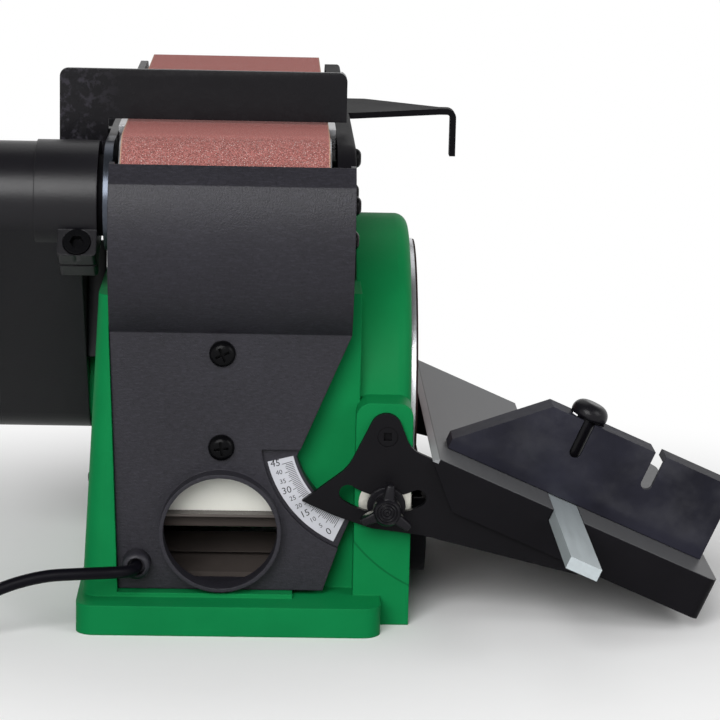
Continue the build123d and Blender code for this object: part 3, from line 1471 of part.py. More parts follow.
def coil_curve(turn):
    """In to the reversal, climbing a layer across it, out again, and off to the plug."""
    radius = coil_r - coil_pitch * (coil_turn - abs(turn - coil_turn)) / 360
    climb = min(max((turn - coil_turn + 90) / 180, 0), 1)
    height = coil_low + coil_layer * climb * climb * (3 - 2 * climb)
    tail = min(max((turn - coil_out) / (coil_end - coil_out), 0), 1)
    height += (plug_r - coil_low - coil_layer) * tail * tail * (3 - 2 * tail)
    radius += coil_tail * tail * tail * (3 - 2 * tail)
    angle = radians(-90 - turn)
    return (coil_x + radius * cos(angle), coil_y + radius * sin(angle), height)


coil_heading = (Vector(*coil_curve(0.01)) - Vector(*coil_curve(-0.01))).normalized()
coil_start = Vector(*coil_curve(0)) - coil_heading * 2 * cord_r
cord_points = [
    (cord_x, boss_front + 4, cord_z),
    (cord_x, boss_front - 5.5, cord_z),
    (-45.0, -130.5, 30.6),
    (-53.0, -136.0, 30.2),
    (-66.0, -139.5, 30.0),
    (-86.0, -142.5, 28.4),
    (-109.0, -148.0, 23.0),
    (-133.0, -157.5, 13.5),
    tuple(coil_start - coil_heading * 22),
    tuple(coil_start),
]
cord_radii = []
for before, point, after in zip(cord_points, cord_points[1:], cord_points[2:]):
    run_in = Vector(*point) - Vector(*before)
    run_out = Vector(*after) - Vector(*point)
    turn = radians(run_in.get_angle(run_out))
    cord_radii.append(0.45 * min(run_in.length, run_out.length) / tan(turn / 2))
print("cord radii", [round(r, 1) for r in cord_radii])

with BuildPart() as power_cord:
    with BuildLine() as cord_line:
        FilletPolyline(*cord_points, radius=cord_radii)
    with BuildSketch(Plane(origin=cord_line.line @ 0, z_dir=cord_line.line % 0)):
        Circle(cord_r)
    sweep()
power_cord.part.label = "power_cord"
export_step(power_cord.part, "parts/power_cord.step")
cord_volume = pi * cord_r**2 * cord_line.wire().length
print("cord volume against section times length", round(power_cord.part.volume / cord_volume, 4))

coil_path = biarc_path(coil_curve, 0, coil_end, int(coil_end / 90), 2 * cord_r)
with BuildPart() as cord_coil:
    with BuildSketch(Plane(origin=coil_path @ 0, z_dir=coil_path % 0)):
        Circle(cord_r)
    sweep(path=coil_path)
cord_coil.part.label = "cord_coil"
export_step(cord_coil.part, "parts/cord_coil.step")
print("coil least gap", round(least_gap(coil_curve, 0, coil_end, cord_r, 180), 2))
print("cord length", round(cord_line.wire().length + coil_path.length))

with BuildPart() as cord_tie:
    with BuildSketch(Plane.YZ.offset(coil_x - 4)):
        low, high = 1.2, coil_low + coil_layer + cord_r + run_gap
        near = coil_r - coil_pitch * (coil_turns_in - 0.5) - cord_r - run_gap
        far = coil_r - coil_pitch / 2 + cord_r + run_gap
        with Locations((coil_y + (near + far) / 2, (low + high) / 2)):
            RectangleRounded(far - near + 2.4, high - low + 2.4, 3)
            RectangleRounded(far - near, high - low, 2, mode=Mode.SUBTRACT)
    extrude(amount=8)
cord_tie.part.label = "cord_tie"
export_step(cord_tie.part, "parts/cord_tie.step")

plug_at = coil_path @ 1
plug_plane = Plane(origin=plug_at, x_dir=(0, 0, 1), z_dir=coil_path % 1)
with BuildPart() as plug:
    with BuildSketch(plug_plane):
        Circle(5)
    with BuildSketch(plug_plane.offset(14)):
        Circle(7.5)
    loft()
    with BuildSketch(plug_plane.offset(14)):
        Circle(9)
    with BuildSketch(plug_plane.offset(34)):
        RectangleRounded(2 * plug_r - 4, 2 * plug_r, 8)
    loft()
    with BuildSketch(plug_plane.offset(34)):
        RectangleRounded(2 * plug_r - 2, 2 * plug_r, 8)
    extrude(amount=14)
    with BuildSketch(plug_plane.offset(48)):
        with Locations((0, -9.5), (0, 9.5)):
            Circle(2.4)
    extrude(amount=19)
plug.part.label = "plug"
export_step(plug.part, "parts/plug.step")
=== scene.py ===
from math import acos, cos, degrees, pi, radians, sin

import bmesh
import bpy
from mathutils import Matrix, Vector


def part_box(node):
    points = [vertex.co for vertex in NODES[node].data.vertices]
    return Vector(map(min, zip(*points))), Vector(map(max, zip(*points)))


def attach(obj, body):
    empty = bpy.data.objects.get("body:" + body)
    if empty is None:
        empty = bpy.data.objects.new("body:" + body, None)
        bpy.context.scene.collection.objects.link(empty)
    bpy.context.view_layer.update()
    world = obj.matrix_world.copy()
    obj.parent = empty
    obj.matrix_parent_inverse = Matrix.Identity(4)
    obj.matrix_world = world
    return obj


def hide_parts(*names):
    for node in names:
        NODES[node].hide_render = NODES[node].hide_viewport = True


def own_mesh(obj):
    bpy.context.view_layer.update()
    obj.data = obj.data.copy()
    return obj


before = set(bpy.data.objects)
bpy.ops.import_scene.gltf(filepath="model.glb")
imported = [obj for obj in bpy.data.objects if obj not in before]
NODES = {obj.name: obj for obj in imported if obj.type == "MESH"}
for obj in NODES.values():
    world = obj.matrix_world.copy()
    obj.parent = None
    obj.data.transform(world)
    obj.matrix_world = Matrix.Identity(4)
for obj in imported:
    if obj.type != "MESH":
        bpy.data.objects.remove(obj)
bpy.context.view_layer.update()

bl_info = {
    "name": "Belt and disc sander",
    "version": (1, 0, 0),
    "blender": (4, 5, 0),
    "location": "View3D > Sidebar > Sander",
    "description": "Finishes and small pieces of a bench belt and disc sander on its packed frame",
    "category": "Object",
}

MM = 0.001

# Places shared with the solids, in millimetres. DRUM, MOTOR, PIVOT and COIL are axes seen end on.
# TABLE_CORNER is the top's edge towards the disc. BRACKET_SCREWS are out along the table from its
# pivot, and up from it.
DRUM = (-78.0, 209.0)
IDLER_Y = 283.38
BELT_MID_R = 30.5
MOTOR_Z = 100.0
MOTOR = (0.0, MOTOR_Z)
PANEL_Y = -109.0
PIVOT = (81.5, 97.0)
PIVOT_POINT = Vector((PIVOT[0], 0, PIVOT[1]))
TILT = radians(23.5)
ALONG = Vector((cos(TILT), 0, -sin(TILT)))
UPWARD = Vector((sin(TILT), 0, cos(TILT)))
TABLE_CORNER = PIVOT_POINT + ALONG * 24.7 + UPWARD * 1.3
STUD_RING = 34.5
STUD_Z = PIVOT[1] - STUD_RING
BRACKET_OUT = 111.5
BRACKET_THICK = 3.0
BRACKET_SCREWS = ((60.7, -12.7), (116.7, -12.7))
SCALE_ZERO = 62.0
SCALE_FACE = PANEL_Y + 2.5
CASE_LEFT = -116.0
COIL = (-184.0, -124.0)
SWITCH = (-68.0, 66.0, 76.0)

FORWARD, LEFTWARD, RIGHTWARD = (0, -1, 0), (-1, 0, 0), (1, 0, 0)
EVEN = WHITE = (1.0, 1.0, 1.0)

# Finish and material slot of the pieces made here
BRACKET_LOOK = ("bracket_satin", "bracket_paint")
CASE_LOOK = ("case_plastic", "black_plastic")
KNOB_LOOK = ("knob_plastic", "black_plastic")
MARK_LOOK = ("white_mark", "scale_label")
OXIDE_LOOK = ("oxide_finish", "black_oxide")
PRINT_LOOK = ("printing", "scale_label")
SOOT_LOOK = ("port_soot", "zinc")
SPRING_LOOK = ("spring_steel", "steel")
STOP_LOOK = ("stop_enamel", "black_enamel")
ZINC_LOOK = ("zinc_plate", "zinc")

# Finish of each solid
WORN_BY = {
    "green_casting": "base",
    "cover_grain": "front_cover cord_grommet",
    "case_plastic": "drive_case drive_cover",
    "stop_enamel": "work_stop",
    "mitre_enamel": "mitre_head",
    "satin_enamel": "tension_lever arm_right_cover arm_sleeve idler_fork",
    "bracket_satin": "table_bracket_front table_bracket_rear",
    "knob_plastic": "table_knob_front table_knob_rear mitre_knob tracking_knob motor_fan",
    "guard_plastic": "lower_disc_guard",
    "switch_plastic": "switch_body switch_rocker",
    "rubber": "drive_belt cord_tie",
    "oxide_finish": "cover_screws arm_screws clamp_screw stop_bolt",
    "belt_grit": "sanding_belt",
    "disc_grit": "abrasive_disc",
    "table_finish": "table",
    "left_plate_finish": "arm_left_plate",
    "plug_finish": "plug",
    "lead_vinyl": "power_cord cord_coil",
    "label_ground": "angle_scale",
    "port_sheet": "chute_plate",
    "stator_finish": "motor_stator",
    "disc_rim": "sanding_disc",
    "drum_face": "drive_drum drum_pulley",
    "idler_face": "idler_drum",
    "pulley_face": "motor_pulley",
    "drawn_aluminium": "mitre_bar",
    "cast_aluminium": "motor_housing motor_end_bells",
    "zinc_plate": "trunnion_pins drive_screws guard_screws bracket_screws motor_bolts",
    "ground_steel": "arm_ties platen drum_shaft drum_bearings idler_axle idler_bearings motor_shaft"
    " motor_bearings motor_rotor",
    "spring_steel": "tension_spring",
}


def paint_tone(red, green, blue):
    """Linear colour of a paint given in 0 to 255 screen values."""
    steps = [value / 255 for value in (red, green, blue)]
    return [s / 12.92 if s <= 0.04045 else ((s + 0.055) / 1.055) ** 2.4 for s in steps]


def at_mm(x, y, z):
    return Vector((x, y, z)) * MM


def spun(angle, axis="Z"):
    """Turn by an angle in degrees."""
    return Matrix.Rotation(radians(angle), 4, axis)


def on_circle(radius, angle):
    return radius * cos(radians(angle)), radius * sin(radians(angle))


def eased(share):
    """Smooth step from nought to one."""
    share = min(max(share, 0), 1)
    return share * share * (3 - 2 * share)


def on_pivot(radius, below):
    """X and Z in millimetres at a radius from the table pivot, in degrees below the -X direction."""
    across, down = on_circle(radius, below)
    return PIVOT[0] - across, PIVOT[1] - down


def on_table(out, depth, height):
    """Point in millimetres on the tilted table: out from the disc edge, along Y, up from the top."""
    return TABLE_CORNER + ALONG * out + Vector((0, depth, 0)) + UPWARD * height


def size_property(label, text, value, unit="LENGTH"):
    return bpy.props.FloatProperty(name=label, description=text, default=value, unit=unit)


class SanderSizes(bpy.types.PropertyGroup):
    """Sizes of the small pieces that are laid over the solids."""

    lead_diameter: size_property("Lead diameter", "Across the power lead", 0.006)
    lead_length: size_property("Lead length", "From the cover to the plug", 1.563)
    tick_width: size_property("Tick width", "Width of the angle scale's marks", 0.0003)
    digit_height: size_property("Digit height", "Height of the large numbers", 0.0034)
    print_height: size_property("Print height", "How far printed marks stand up", 0.00004)
    knob_reach: size_property("Wing reach", "Radius of the table knobs' wings", 0.0138)
    lens: size_property("Lens", "Focal length of the camera in millimetres", 139.7, "NONE")
    floor_reach: size_property("Floor reach", "Half width of the floor", 9.0)


def tone_property(label, text, *tone):
    return bpy.props.FloatVectorProperty(
        name=label, description=text, default=paint_tone(*tone), min=0, max=1, size=3, subtype="COLOR"
    )


class SanderColours(bpy.types.PropertyGroup):
    """Colours of the paints, plastics, metals and grit."""

    casting: tone_property("Casting", "Green paint of the base", 14, 124, 68)
    cover: tone_property("Cover", "Grained paint of the dust cover", 38, 37, 43)
    enamel: tone_property("Enamel", "Black enamel of the stop, lever and table", 19, 18, 21)
    plastic: tone_property("Plastic", "Black moulded plastic", 20, 19, 23)
    grit: tone_property("Grit", "Aluminium oxide grit of the belt and disc", 158, 99, 94)
    cloth: tone_property("Cloth", "Backing cloth of the belt", 196, 160, 138)
    vinyl: tone_property("Vinyl", "Sheath of the power lead", 9, 8, 14)
    label: tone_property("Label", "Ground of the angle scale", 205, 206, 213)
    printing: tone_property("Printing", "Marks and numbers", 20, 20, 24)
    aluminium: tone_property("Aluminium", "Cast and turned aluminium", 205, 207, 210)
    zinc: tone_property("Zinc", "Plated steel", 186, 192, 194)
    steel: tone_property("Steel", "Ground steel", 158, 158, 160)
    oxide: tone_property("Oxide", "Blackened screws", 8, 8, 10)
    # Dusty metal of the deflector, also laid as painted shade inside the dust port, on the base and on the
    # sheet's lower lip.
    soot: tone_property("Soot", "Dusty metal inside the dust port", 66, 60, 57)
    rubber: tone_property("Rubber", "V-belt rubber", 27, 27, 27)
    copper: tone_property("Copper", "Motor windings", 168, 92, 48)
    floor: tone_property("Floor", "Studio floor", 246, 246, 246)


def settings():
    scene = bpy.context.scene
    return scene.sander_sizes, scene.sander_colours


def math_node(operation, swapped=False):
    """Method that adds one Math node; swapped puts the wire second."""

    def apply(wire, other=0.0):
        first, second = (other, wire) if swapped else (wire, other)
        return wire.finish.node("Math", {0: first, 1: second}, operation=operation)

    return apply


class Wire:
    """A shader socket in Python maths: each operator adds one Math node."""

    __add__ = __radd__ = math_node("ADD")
    __sub__ = math_node("SUBTRACT")
    __rsub__ = math_node("SUBTRACT", True)
    __mul__ = __rmul__ = math_node("MULTIPLY")
    __pow__ = math_node("POWER")
    __gt__ = math_node("GREATER_THAN")
    __lt__ = math_node("LESS_THAN")
    __abs__ = math_node("ABSOLUTE")
    largest = math_node("MAXIMUM")
    smallest = math_node("MINIMUM")
    sine = math_node("SINE")

    def __init__(self, finish, socket):
        self.finish = finish
        self.socket = socket

    def between(self, low, high):
        """One between two limits in millimetres."""
        return (self > low * MM) * (self < high * MM)


class Finish:
    """One material, or the world: its nodes, and the colour, roughness and normal that it has so far."""

    def __init__(self, name, colour=None, world=None):
        self.material = world or bpy.data.materials.new(name)
        self.material.use_nodes = True
        self.tree = self.material.node_tree
        self.surface = self.tree.nodes.get("Principled BSDF")
        self.colour = colour
        self.roughness = self.normal = None

    def node(self, kind, sockets=None, output=0, **options):
        """Adds a shader node, with its options set first, then its sockets' values or links."""
        made = self.tree.nodes.new(f"ShaderNode{kind}")
        for key, value in options.items():
            setattr(made, key, value)
        for key, value in (sockets or {}).items():
            self.feed(made.inputs[key], value)
        return Wire(self, made.outputs[output])

    def feed(self, socket, value):
        if isinstance(value, Wire):
            self.tree.links.new(value.socket, socket)
        elif socket.type == "RGBA" and len(value) == 3:
            socket.default_value = (*value, 1)
        else:
            socket.default_value = value

    def shade(self, **sockets):
        """Sets the surface's sockets, named with _ for a space."""
        for key, value in sockets.items():
            self.feed(self.surface.inputs[key.replace("_", " ")], value)

    def over(self, mask, tone, rough=None):
        """Lays a tone, and a roughness where one is given, over what is there by a mask."""
        self.colour = self.mix(mask, self.colour, tone)
        if rough is not None:
            self.roughness = self.roughness * (1 - mask) + rough * mask

    def done(self, **more):
        """Gives the surface its colour, roughness and normal, and any other sockets."""
        if self.normal:
            more["Normal"] = self.normal
        self.shade(Base_Color=self.colour, Roughness=self.roughness, **more)

    def show(self, end, factor, first, second):
        """Ends the nodes in a mix of two shaders."""
        mixed = self.node("MixShader", {0: factor, 1: first, 2: second})
        self.feed(self.tree.nodes[f"{end} Output"].inputs["Surface"], mixed)

    def place(self):
        return self.node("TexCoord", output="Object")

    def parts(self, vector):
        split = self.node("SeparateXYZ", {0: vector}).socket.node
        return [Wire(self, split.outputs[axis]) for axis in range(3)]

    def axes(self):
        return self.parts(self.place())

    def flat(self):
        return self.node("NewGeometry", output="Normal")

    def noise(self, scale, detail=2.0, rough=0.5, stretch=None):
        where = self.place()
        if stretch:
            where = self.node("Mapping", {"Vector": where, "Scale": stretch})
        return self.node(
            "TexNoise", {"Vector": where, "Scale": scale, "Detail": detail, "Roughness": rough}
        )

    def ramp(self, factor, low, high, reverse=False):
        """Smooth step of a value between two limits."""
        limits = {"Value": factor, "From Min": low, "From Max": high}
        ends = {"To Min": float(reverse), "To Max": float(not reverse)}
        return self.node("MapRange", {**limits, **ends}, interpolation_type="SMOOTHSTEP")

    def patches(self, low, high, *noise):
        """Noise cut to soft patches between two of its values."""
        return self.ramp(self.noise(*noise), low, high)

    def mix(self, factor, first, second):
        """Colour between two colours."""
        return self.node("Mix", {0: factor, 6: first, 7: second}, 2, data_type="RGBA")

    def dot(self, first, second):
        return self.node("VectorMath", {0: first, 1: second}, "Value", operation="DOT_PRODUCT")

    def along(self, origin, direction):
        """Distance of the surface from an origin along a direction, in metres."""
        offset = self.node("VectorMath", {0: self.place(), 1: tuple(origin)}, operation="SUBTRACT")
        return self.dot(offset, tuple(direction))

    def seen(self):
        """One for rays from the camera, mirrors and glass, nought for light that is scattered."""
        eye = self.node("LightPath", output="Is Camera Ray")
        rays = eye.socket.node.outputs
        return (eye + Wire(self, rays["Is Transmission Ray"])).largest(Wire(self, rays["Is Glossy Ray"]))

    def soft_edge(self, radius):
        return self.node("Bevel", {"Radius": radius}, samples=4)

    def edge_mask(self, soft):
        """One near an edge, nought on a flat face."""
        return self.ramp(1 - self.dot(soft, self.flat()), 0.02, 0.25)

    def bump(self, height, depth, normal=None, strength=1.0):
        sockets = {"Height": height, "Distance": depth, "Strength": strength}
        if normal:
            sockets["Normal"] = normal
        return self.node("Bump", sockets)


def scaled(tone, amount):
    return [min(value * amount, 1.0) for value in tone]


def apart_squared(first, second, centre):
    """Squared distance of the surface from an axis in millimetres, in the axis's two coordinates."""
    return (first - centre[0] * MM) ** 2.0 + (second - centre[1] * MM) ** 2.0


def coated(name, tone, rough, grain, depth, edge=0.0006, mottle=0.12, worn=0.0, bare=None, gloss=0.2):
    """Paint, enamel or moulded plastic: fine grain, cloudy tone, softened and slightly rubbed edges."""
    finish = Finish(name, scaled(tone, 1 - mottle))
    finish.shade(Specular_IOR_Level=gloss)
    cloud = finish.noise(22, 4, 0.55)
    fine = finish.noise(grain, 2, 0.6)
    soft = finish.soft_edge(edge)
    finish.over(finish.ramp(cloud, 0.3, 0.7), scaled(tone, 1 + mottle))
    finish.roughness = rough + 0.16 * (cloud - 0.5) + 0.12 * (fine - 0.5)
    finish.normal = finish.bump(fine, depth, soft)
    if worn:
        finish.over(finish.edge_mask(soft) * finish.patches(0.45, 0.75, 160, 4, 0.65) * worn, bare)
    return finish


def metal(name, tone, rough, stretch, grain=420, depth=0.000012, dirt=0.25, bright=0.9):
    """Bare metal with tool marks drawn out along one direction and a little staining."""
    finish = Finish(name, tone)
    marks = finish.noise(grain, 3, 0.6, stretch)
    stain = finish.noise(30, 5, 0.6)
    soft = finish.soft_edge(0.0004)
    finish.over(finish.ramp(stain, 0.35, 0.75) * dirt, scaled(tone, 0.55))
    finish.over(finish.ramp(marks, 0.3, 0.75) * 0.3, scaled(tone, 1.2))
    finish.over(finish.edge_mask(soft) * 0.6, scaled(tone, 1.5))
    finish.roughness = rough + 0.25 * (marks - 0.5) + 0.1 * (stain - 0.5)
    finish.normal = finish.bump(marks, depth, soft)
    finish.done(Metallic=bright)


def turned_metal(name, tone, rough, centre, pitch):
    """Metal faced on a lathe: fine rings about an axis along X, with scuffs."""
    finish = Finish(name, tone)
    x, y, z = finish.axes()
    rings = ((apart_squared(y, z, centre) ** 0.5 + x) * (2 * pi / pitch)).sine()
    scuff = finish.noise(120, 4, 0.65)
    finish.over(finish.ramp(scuff, 0.35, 0.75) * 0.35, scaled(tone, 0.6))
    finish.roughness = rough + 0.05 * rings + 0.2 * (scuff - 0.5)
    finish.normal = finish.bump(rings, 0.000008, finish.soft_edge(0.0005))
    finish.done(Metallic=0.92)


def green_casting(tones):
    """Painted iron casting: a painted shade line along a crease, painted shade inside the dust port, bare
    spot faces at the table studs.
    """
    finish = coated(
        "green_casting", tones.casting, 0.5, 520, 0.00005, edge=0.0012, mottle=0.07, worn=0.3,
        bare=scaled(tones.casting, 1.6), gloss=0.06,
    )
    x, y, z = finish.axes()
    faced = (apart_squared(x, z, (PIVOT[0], STUD_Z)) < (13.5 * MM) ** 2) * (y < -106 * MM)
    # Painted shade: the base's walls seen through the dust port take the port's dark dust-and-shade tone.
    inside = y.between(-95.5, -60) * z.between(11, 54) * x.between(-58, 48)
    # Painted shade: a dark line along an arc on the pilaster's face, where its crease would be shaded.
    crease = abs(apart_squared(x, z, (127.9, 91.9)) ** 0.5 - 79.0 * MM)
    crease_shade = finish.ramp(crease, 0.0002, 0.0007, True) * (y < -104 * MM) * (x > 66 * MM) * (z < 60 * MM)
    finish.over(crease_shade * 0.55, scaled(tones.casting, 0.35))
    finish.over(inside, scaled(tones.soot, 1.3))
    finish.over(faced, (0.62, 0.61, 0.55))
    finish.roughness -= 0.06 * faced
    finish.done(Metallic=faced)


def grit(tones, name):
    """Aluminium oxide grains with pale specks, partly the grit's own pale grains and partly painted glints;
    gives the finish and its axes.
    """
    tone = tones.grit
    finish = Finish(name, scaled(tone, 0.54))
    where = finish.place()
    grains = finish.node("TexVoronoi", {"Vector": where, "Scale": 1500.0}, "Distance")
    # Pale specks: partly the grit's pale grains, partly painted glints, and glossier where they lie.
    pale_grain_glint = finish.patches(0.6, 0.74, 1900, 1, 0.5)
    finish.over(finish.patches(0.36, 0.64, 1300, 3, 0.7), scaled(tone, 1.4))
    finish.over(finish.patches(0.35, 0.75, 16, 3, 0.5) * 0.25, scaled(tone, 0.8))
    finish.over(finish.patches(0.42, 0.62, 430, 3, 0.75) * 0.28, scaled(tone, 0.55))
    finish.over(pale_grain_glint * 0.7, (0.84, 0.7, 0.66))
    finish.roughness = 0.82 - 0.4 * pale_grain_glint
    finish.normal = finish.bump(grains, 0.00012, strength=0.8)
    finish.shade(Specular_IOR_Level=0.2)
    return finish, finish.parts(where)


def disc_grit(tones):
    """Grit of the disc, dark at its cut rim."""
    finish, (x, y, z) = grit(tones, "disc_grit")
    finish.over(apart_squared(y, z, MOTOR) > (75.2 * MM) ** 2, scaled(tones.grit, 0.06))
    finish.done()


def belt_grit(tones):
    """Grit of the belt: backing cloth inside and at the edges, a splice, a painted highlight on its top and
    painted shade low on its front.
    """
    finish, (x, y, z) = grit(tones, "belt_grit")
    beyond = (y - IDLER_Y * MM).largest() + (y - DRUM[0] * MM).smallest()
    reach = beyond ** 2.0 + (z - DRUM[1] * MM) ** 2.0
    back = finish.ramp(reach, ((BELT_MID_R - 0.25) * MM) ** 2, ((BELT_MID_R + 0.1) * MM) ** 2, True)
    fray = abs(x) + 0.0009 * (finish.noise(700, 3, 0.7) - 0.5)
    bare = back.largest(finish.ramp(fray, 49.9 * MM, 50.7 * MM))
    weave = finish.noise(900, 1, 0.4, (1.0, 6.0, 6.0))
    finish.over(bare, finish.mix(weave, scaled(tones.cloth, 0.7), scaled(tones.cloth, 1.1)), 0.85)
    splice = abs(finish.along(at_mm(0, 120, 0), (0.55, 1.0, 0)))
    finish.over(finish.ramp(splice, 0.0003, 0.0008, True) * 0.7, scaled(tones.grit, 0.35))
    # Painted highlight: the grit is made lighter over the belt's top.
    lit_top = finish.ramp(z, 0.2385, 0.24) * (1 - bare)
    finish.over(lit_top * 0.35, scaled(tones.grit, 1.75))
    # Painted shade: the grit is made darker low on the belt's front, where it curves down towards the cover.
    shaded_low = finish.ramp(z, 0.219, 0.235, True) * (1 - bare)
    finish.over(shaded_low * 0.2, scaled(tones.grit, 0.3))
    finish.done()


def table_paint(tones):
    """Black table: ground satin top, bright bevel towards the disc, painted apron."""
    finish = coated(
        "table_finish", tones.enamel, 0.42, 700, 0.00003, edge=0.0007, worn=0.2,
        bare=(0.12, 0.12, 0.13), gloss=0.06,
    )
    height = finish.along(TABLE_CORNER * MM, UPWARD)
    out = finish.along(TABLE_CORNER * MM, ALONG)
    top = finish.ramp(height, -0.00035, -0.00015)
    strip = finish.ramp(out, 0.0029, 0.0032, True) * finish.ramp(height, -0.0027, -0.0024) * (1 - top)
    lapped = finish.noise(950, 3, 0.6, (1.0, 0.03, 1.0))
    satin = finish.mix(finish.ramp(lapped, 0.35, 0.7), (0.1, 0.101, 0.105), (0.11, 0.111, 0.116))
    finish.over(top, satin, 0.38 + 0.08 * (lapped - 0.5))
    finish.over(strip, (0.3, 0.31, 0.32))
    finish.done()


def cover_grain(tones):
    """Grained paint of the dust cover, with fine streaks across it."""
    finish = coated(
        "cover_grain", tones.cover, 0.42, 1150, 0.00016, edge=0.0008, mottle=0.1, worn=0.2,
        bare=scaled(tones.cover, 1.8), gloss=0.24,
    )
    streak = finish.noise(1000, 3, 0.7, (0.25, 1.0, 1.0))
    speck = finish.noise(620, 3, 0.75)
    finish.over(finish.ramp(streak, 0.45, 0.7) * 0.45, scaled(tones.cover, 2.1))
    finish.over(finish.ramp(speck, 0.3, 0.5, True) * 0.5, scaled(tones.cover, 0.45))
    finish.roughness += 0.12 * (speck - 0.5)
    finish.done()


def mitre_enamel():
    """Enamel of the mitre head: smudged gloss on its face, duller on its edges, and a strong cloudy tone
    that is a painted reflection.
    """
    # The strong cloudy tone (mottle 0.35) is a painted reflection: light patches for a foggy reflection on
    # the head.
    finish = coated(
        "mitre_enamel", paint_tone(37, 37, 46), 0.4, 170, 0.00005, edge=0.0007, mottle=0.35, worn=0.3,
        bare=(0.12, 0.12, 0.14), gloss=0.02,
    )
    face = finish.ramp(finish.parts(finish.flat())[1], -0.97, -0.8, True)
    smudge = finish.patches(0.42, 0.66, 17, 5, 0.65)
    finish.done(Coat_Roughness=0.16, Coat_Weight=face * (0.12 + 0.6 * smudge))


def stop_enamel(tones):
    """Gloss enamel of the work stop, with lighter, rougher patches at its left end as a painted reflection.
    """
    finish = coated(
        "stop_enamel", tones.enamel, 0.26, 170, 0.00009, edge=0.0007, worn=0.4,
        bare=(0.14, 0.14, 0.16), gloss=0.14,
    )
    left_end = finish.ramp(finish.axes()[0], -0.078, -0.05, True)
    # Painted reflection: lighter patches at the left end stand in for a mottled reflection.
    reflection_patches = finish.patches(0.48, 0.64, 260, 4, 0.7) * left_end
    finish.over(reflection_patches * 0.5, paint_tone(62, 59, 68))
    finish.roughness += 0.2 * reflection_patches
    finish.done()


def left_plate(tones):
    """Plated arm plate, bare round the drum and painted black behind."""
    finish = coated("left_plate_finish", tones.enamel, 0.36, 700, 0.00003, gloss=0.08)
    x, y, z = finish.axes()
    plated = finish.ramp(apart_squared(y, z, DRUM), (31 * MM) ** 2, (34 * MM) ** 2, True)
    brushed = finish.noise(500, 3, 0.6, (4.0, 1.0, 1.0))
    bright = finish.mix(brushed, paint_tone(58, 62, 70), paint_tone(92, 97, 107))
    finish.over(plated, bright, 0.3 + 0.15 * (brushed - 0.5))
    finish.done(Metallic=0.9 * plated)


def plug_finish(tones):
    """Vinyl plug body with bright pins."""
    finish = coated("plug_finish", tones.vinyl, 0.45, 900, 0.00004, edge=0.0012)
    pin_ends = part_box("plug")[1].y
    pins = finish.ramp(finish.along((0, pin_ends, 0), (0, 1, 0)), -0.0192, -0.0188)
    scratch = finish.noise(500, 2, 0.5, (6.0, 1.0, 6.0))
    finish.over(pins, finish.mix(scratch, (0.6, 0.58, 0.5), (0.8, 0.78, 0.7)), 0.25)
    finish.done(Metallic=0.95 * pins)


def wound_copper(tones):
    """Stator: laminated iron in the middle, copper windings at the ends."""
    finish = Finish("stator_finish", scaled(tones.copper, 0.5))
    x = finish.axes()[0]
    core = x.between(-14, 26)
    layers = (x * (2 * pi / 0.0007)).sine()
    strands = finish.noise(800, 2, 0.5, (0.3, 1.0, 1.0))
    finish.over(finish.ramp(strands, 0.35, 0.65), tones.copper)
    finish.over(core, finish.mix(finish.ramp(layers, -0.4, 0.6), (0.1, 0.1, 0.1), (0.22, 0.22, 0.22)))
    finish.roughness = 0.38 + 0.2 * core
    finish.normal = finish.bump(layers * core * 0.3 + strands, 0.0002)
    finish.done(Metallic=0.8)


def lead_vinyl(tones):
    """Sheath of the power lead."""
    finish = Finish("lead_vinyl", scaled(tones.vinyl, 0.8))
    cloud = finish.noise(60, 3, 0.5)
    finish.over(cloud, scaled(tones.vinyl, 1.3))
    finish.roughness = 0.42 + 0.15 * (cloud - 0.5)
    finish.normal = finish.bump(finish.noise(1300, 2, 0.6), 0.00004)
    finish.done(Specular_IOR_Level=0.08)


def label_ground(tones):
    """Foil label of the angle scale."""
    finish = Finish("label_ground", scaled(tones.label, 0.88))
    fine = finish.noise(1500, 2, 0.6)
    finish.over(finish.noise(70, 3, 0.5), scaled(tones.label, 1.04))
    finish.roughness = 0.4 + 0.2 * (fine - 0.5)
    finish.normal = finish.bump(fine, 0.00001)
    finish.done()


def sheet_ground(tones):
    """Galvanised sheet seen through the dust port: made near white as painted light, with cloudy patches,
    brushed streaks and painted shade on its lower lip.
    """
    # Painted light: the sheet's tone is near white so that it reads as lit inside the shaded port.
    lit_cream = paint_tone(244, 244, 235)
    finish = Finish("port_sheet", lit_cream)
    streak = finish.noise(260, 4, 0.65, (5.0, 1.0, 0.7))
    finish.over(finish.patches(0.3, 0.75, 45, 4, 0.6) * 0.5, scaled(lit_cream, 0.82))
    finish.over(finish.ramp(streak, 0.5, 0.8) * 0.5, paint_tone(248, 248, 240))
    height = finish.axes()[2] + 0.0006 * (streak - 0.5)
    # Painted shade: a darker band along the sheet's lower lip.
    finish.over(finish.ramp(height, 54.2 * MM, 54.7 * MM, True), scaled(tones.soot, 1.6))
    finish.roughness = 0.45 + 0.2 * (streak - 0.5)
    finish.normal = finish.bump(streak, 0.00003)
    finish.done(Metallic=0.15)


def ink(name, tone, rough, dark, light):
    """Printed or moulded-in marks."""
    finish = Finish(name, scaled(tone, dark))
    fine = finish.noise(2500, 2, 0.6)
    finish.over(fine, scaled(tone, light))
    finish.roughness = rough + 0.1 * (fine - 0.5)
    finish.done()


def material(name):
    found = bpy.data.materials.get(name)
    if found is None:
        raise RuntimeError(f"no finish named {name}")
    return found


def shown(name, data):
    """Object in the scene."""
    made = bpy.data.objects.new(name, data)
    bpy.context.scene.collection.objects.link(made)
    return made


def verts_of(items):
    return [item for item in items if isinstance(item, bmesh.types.BMVert)]


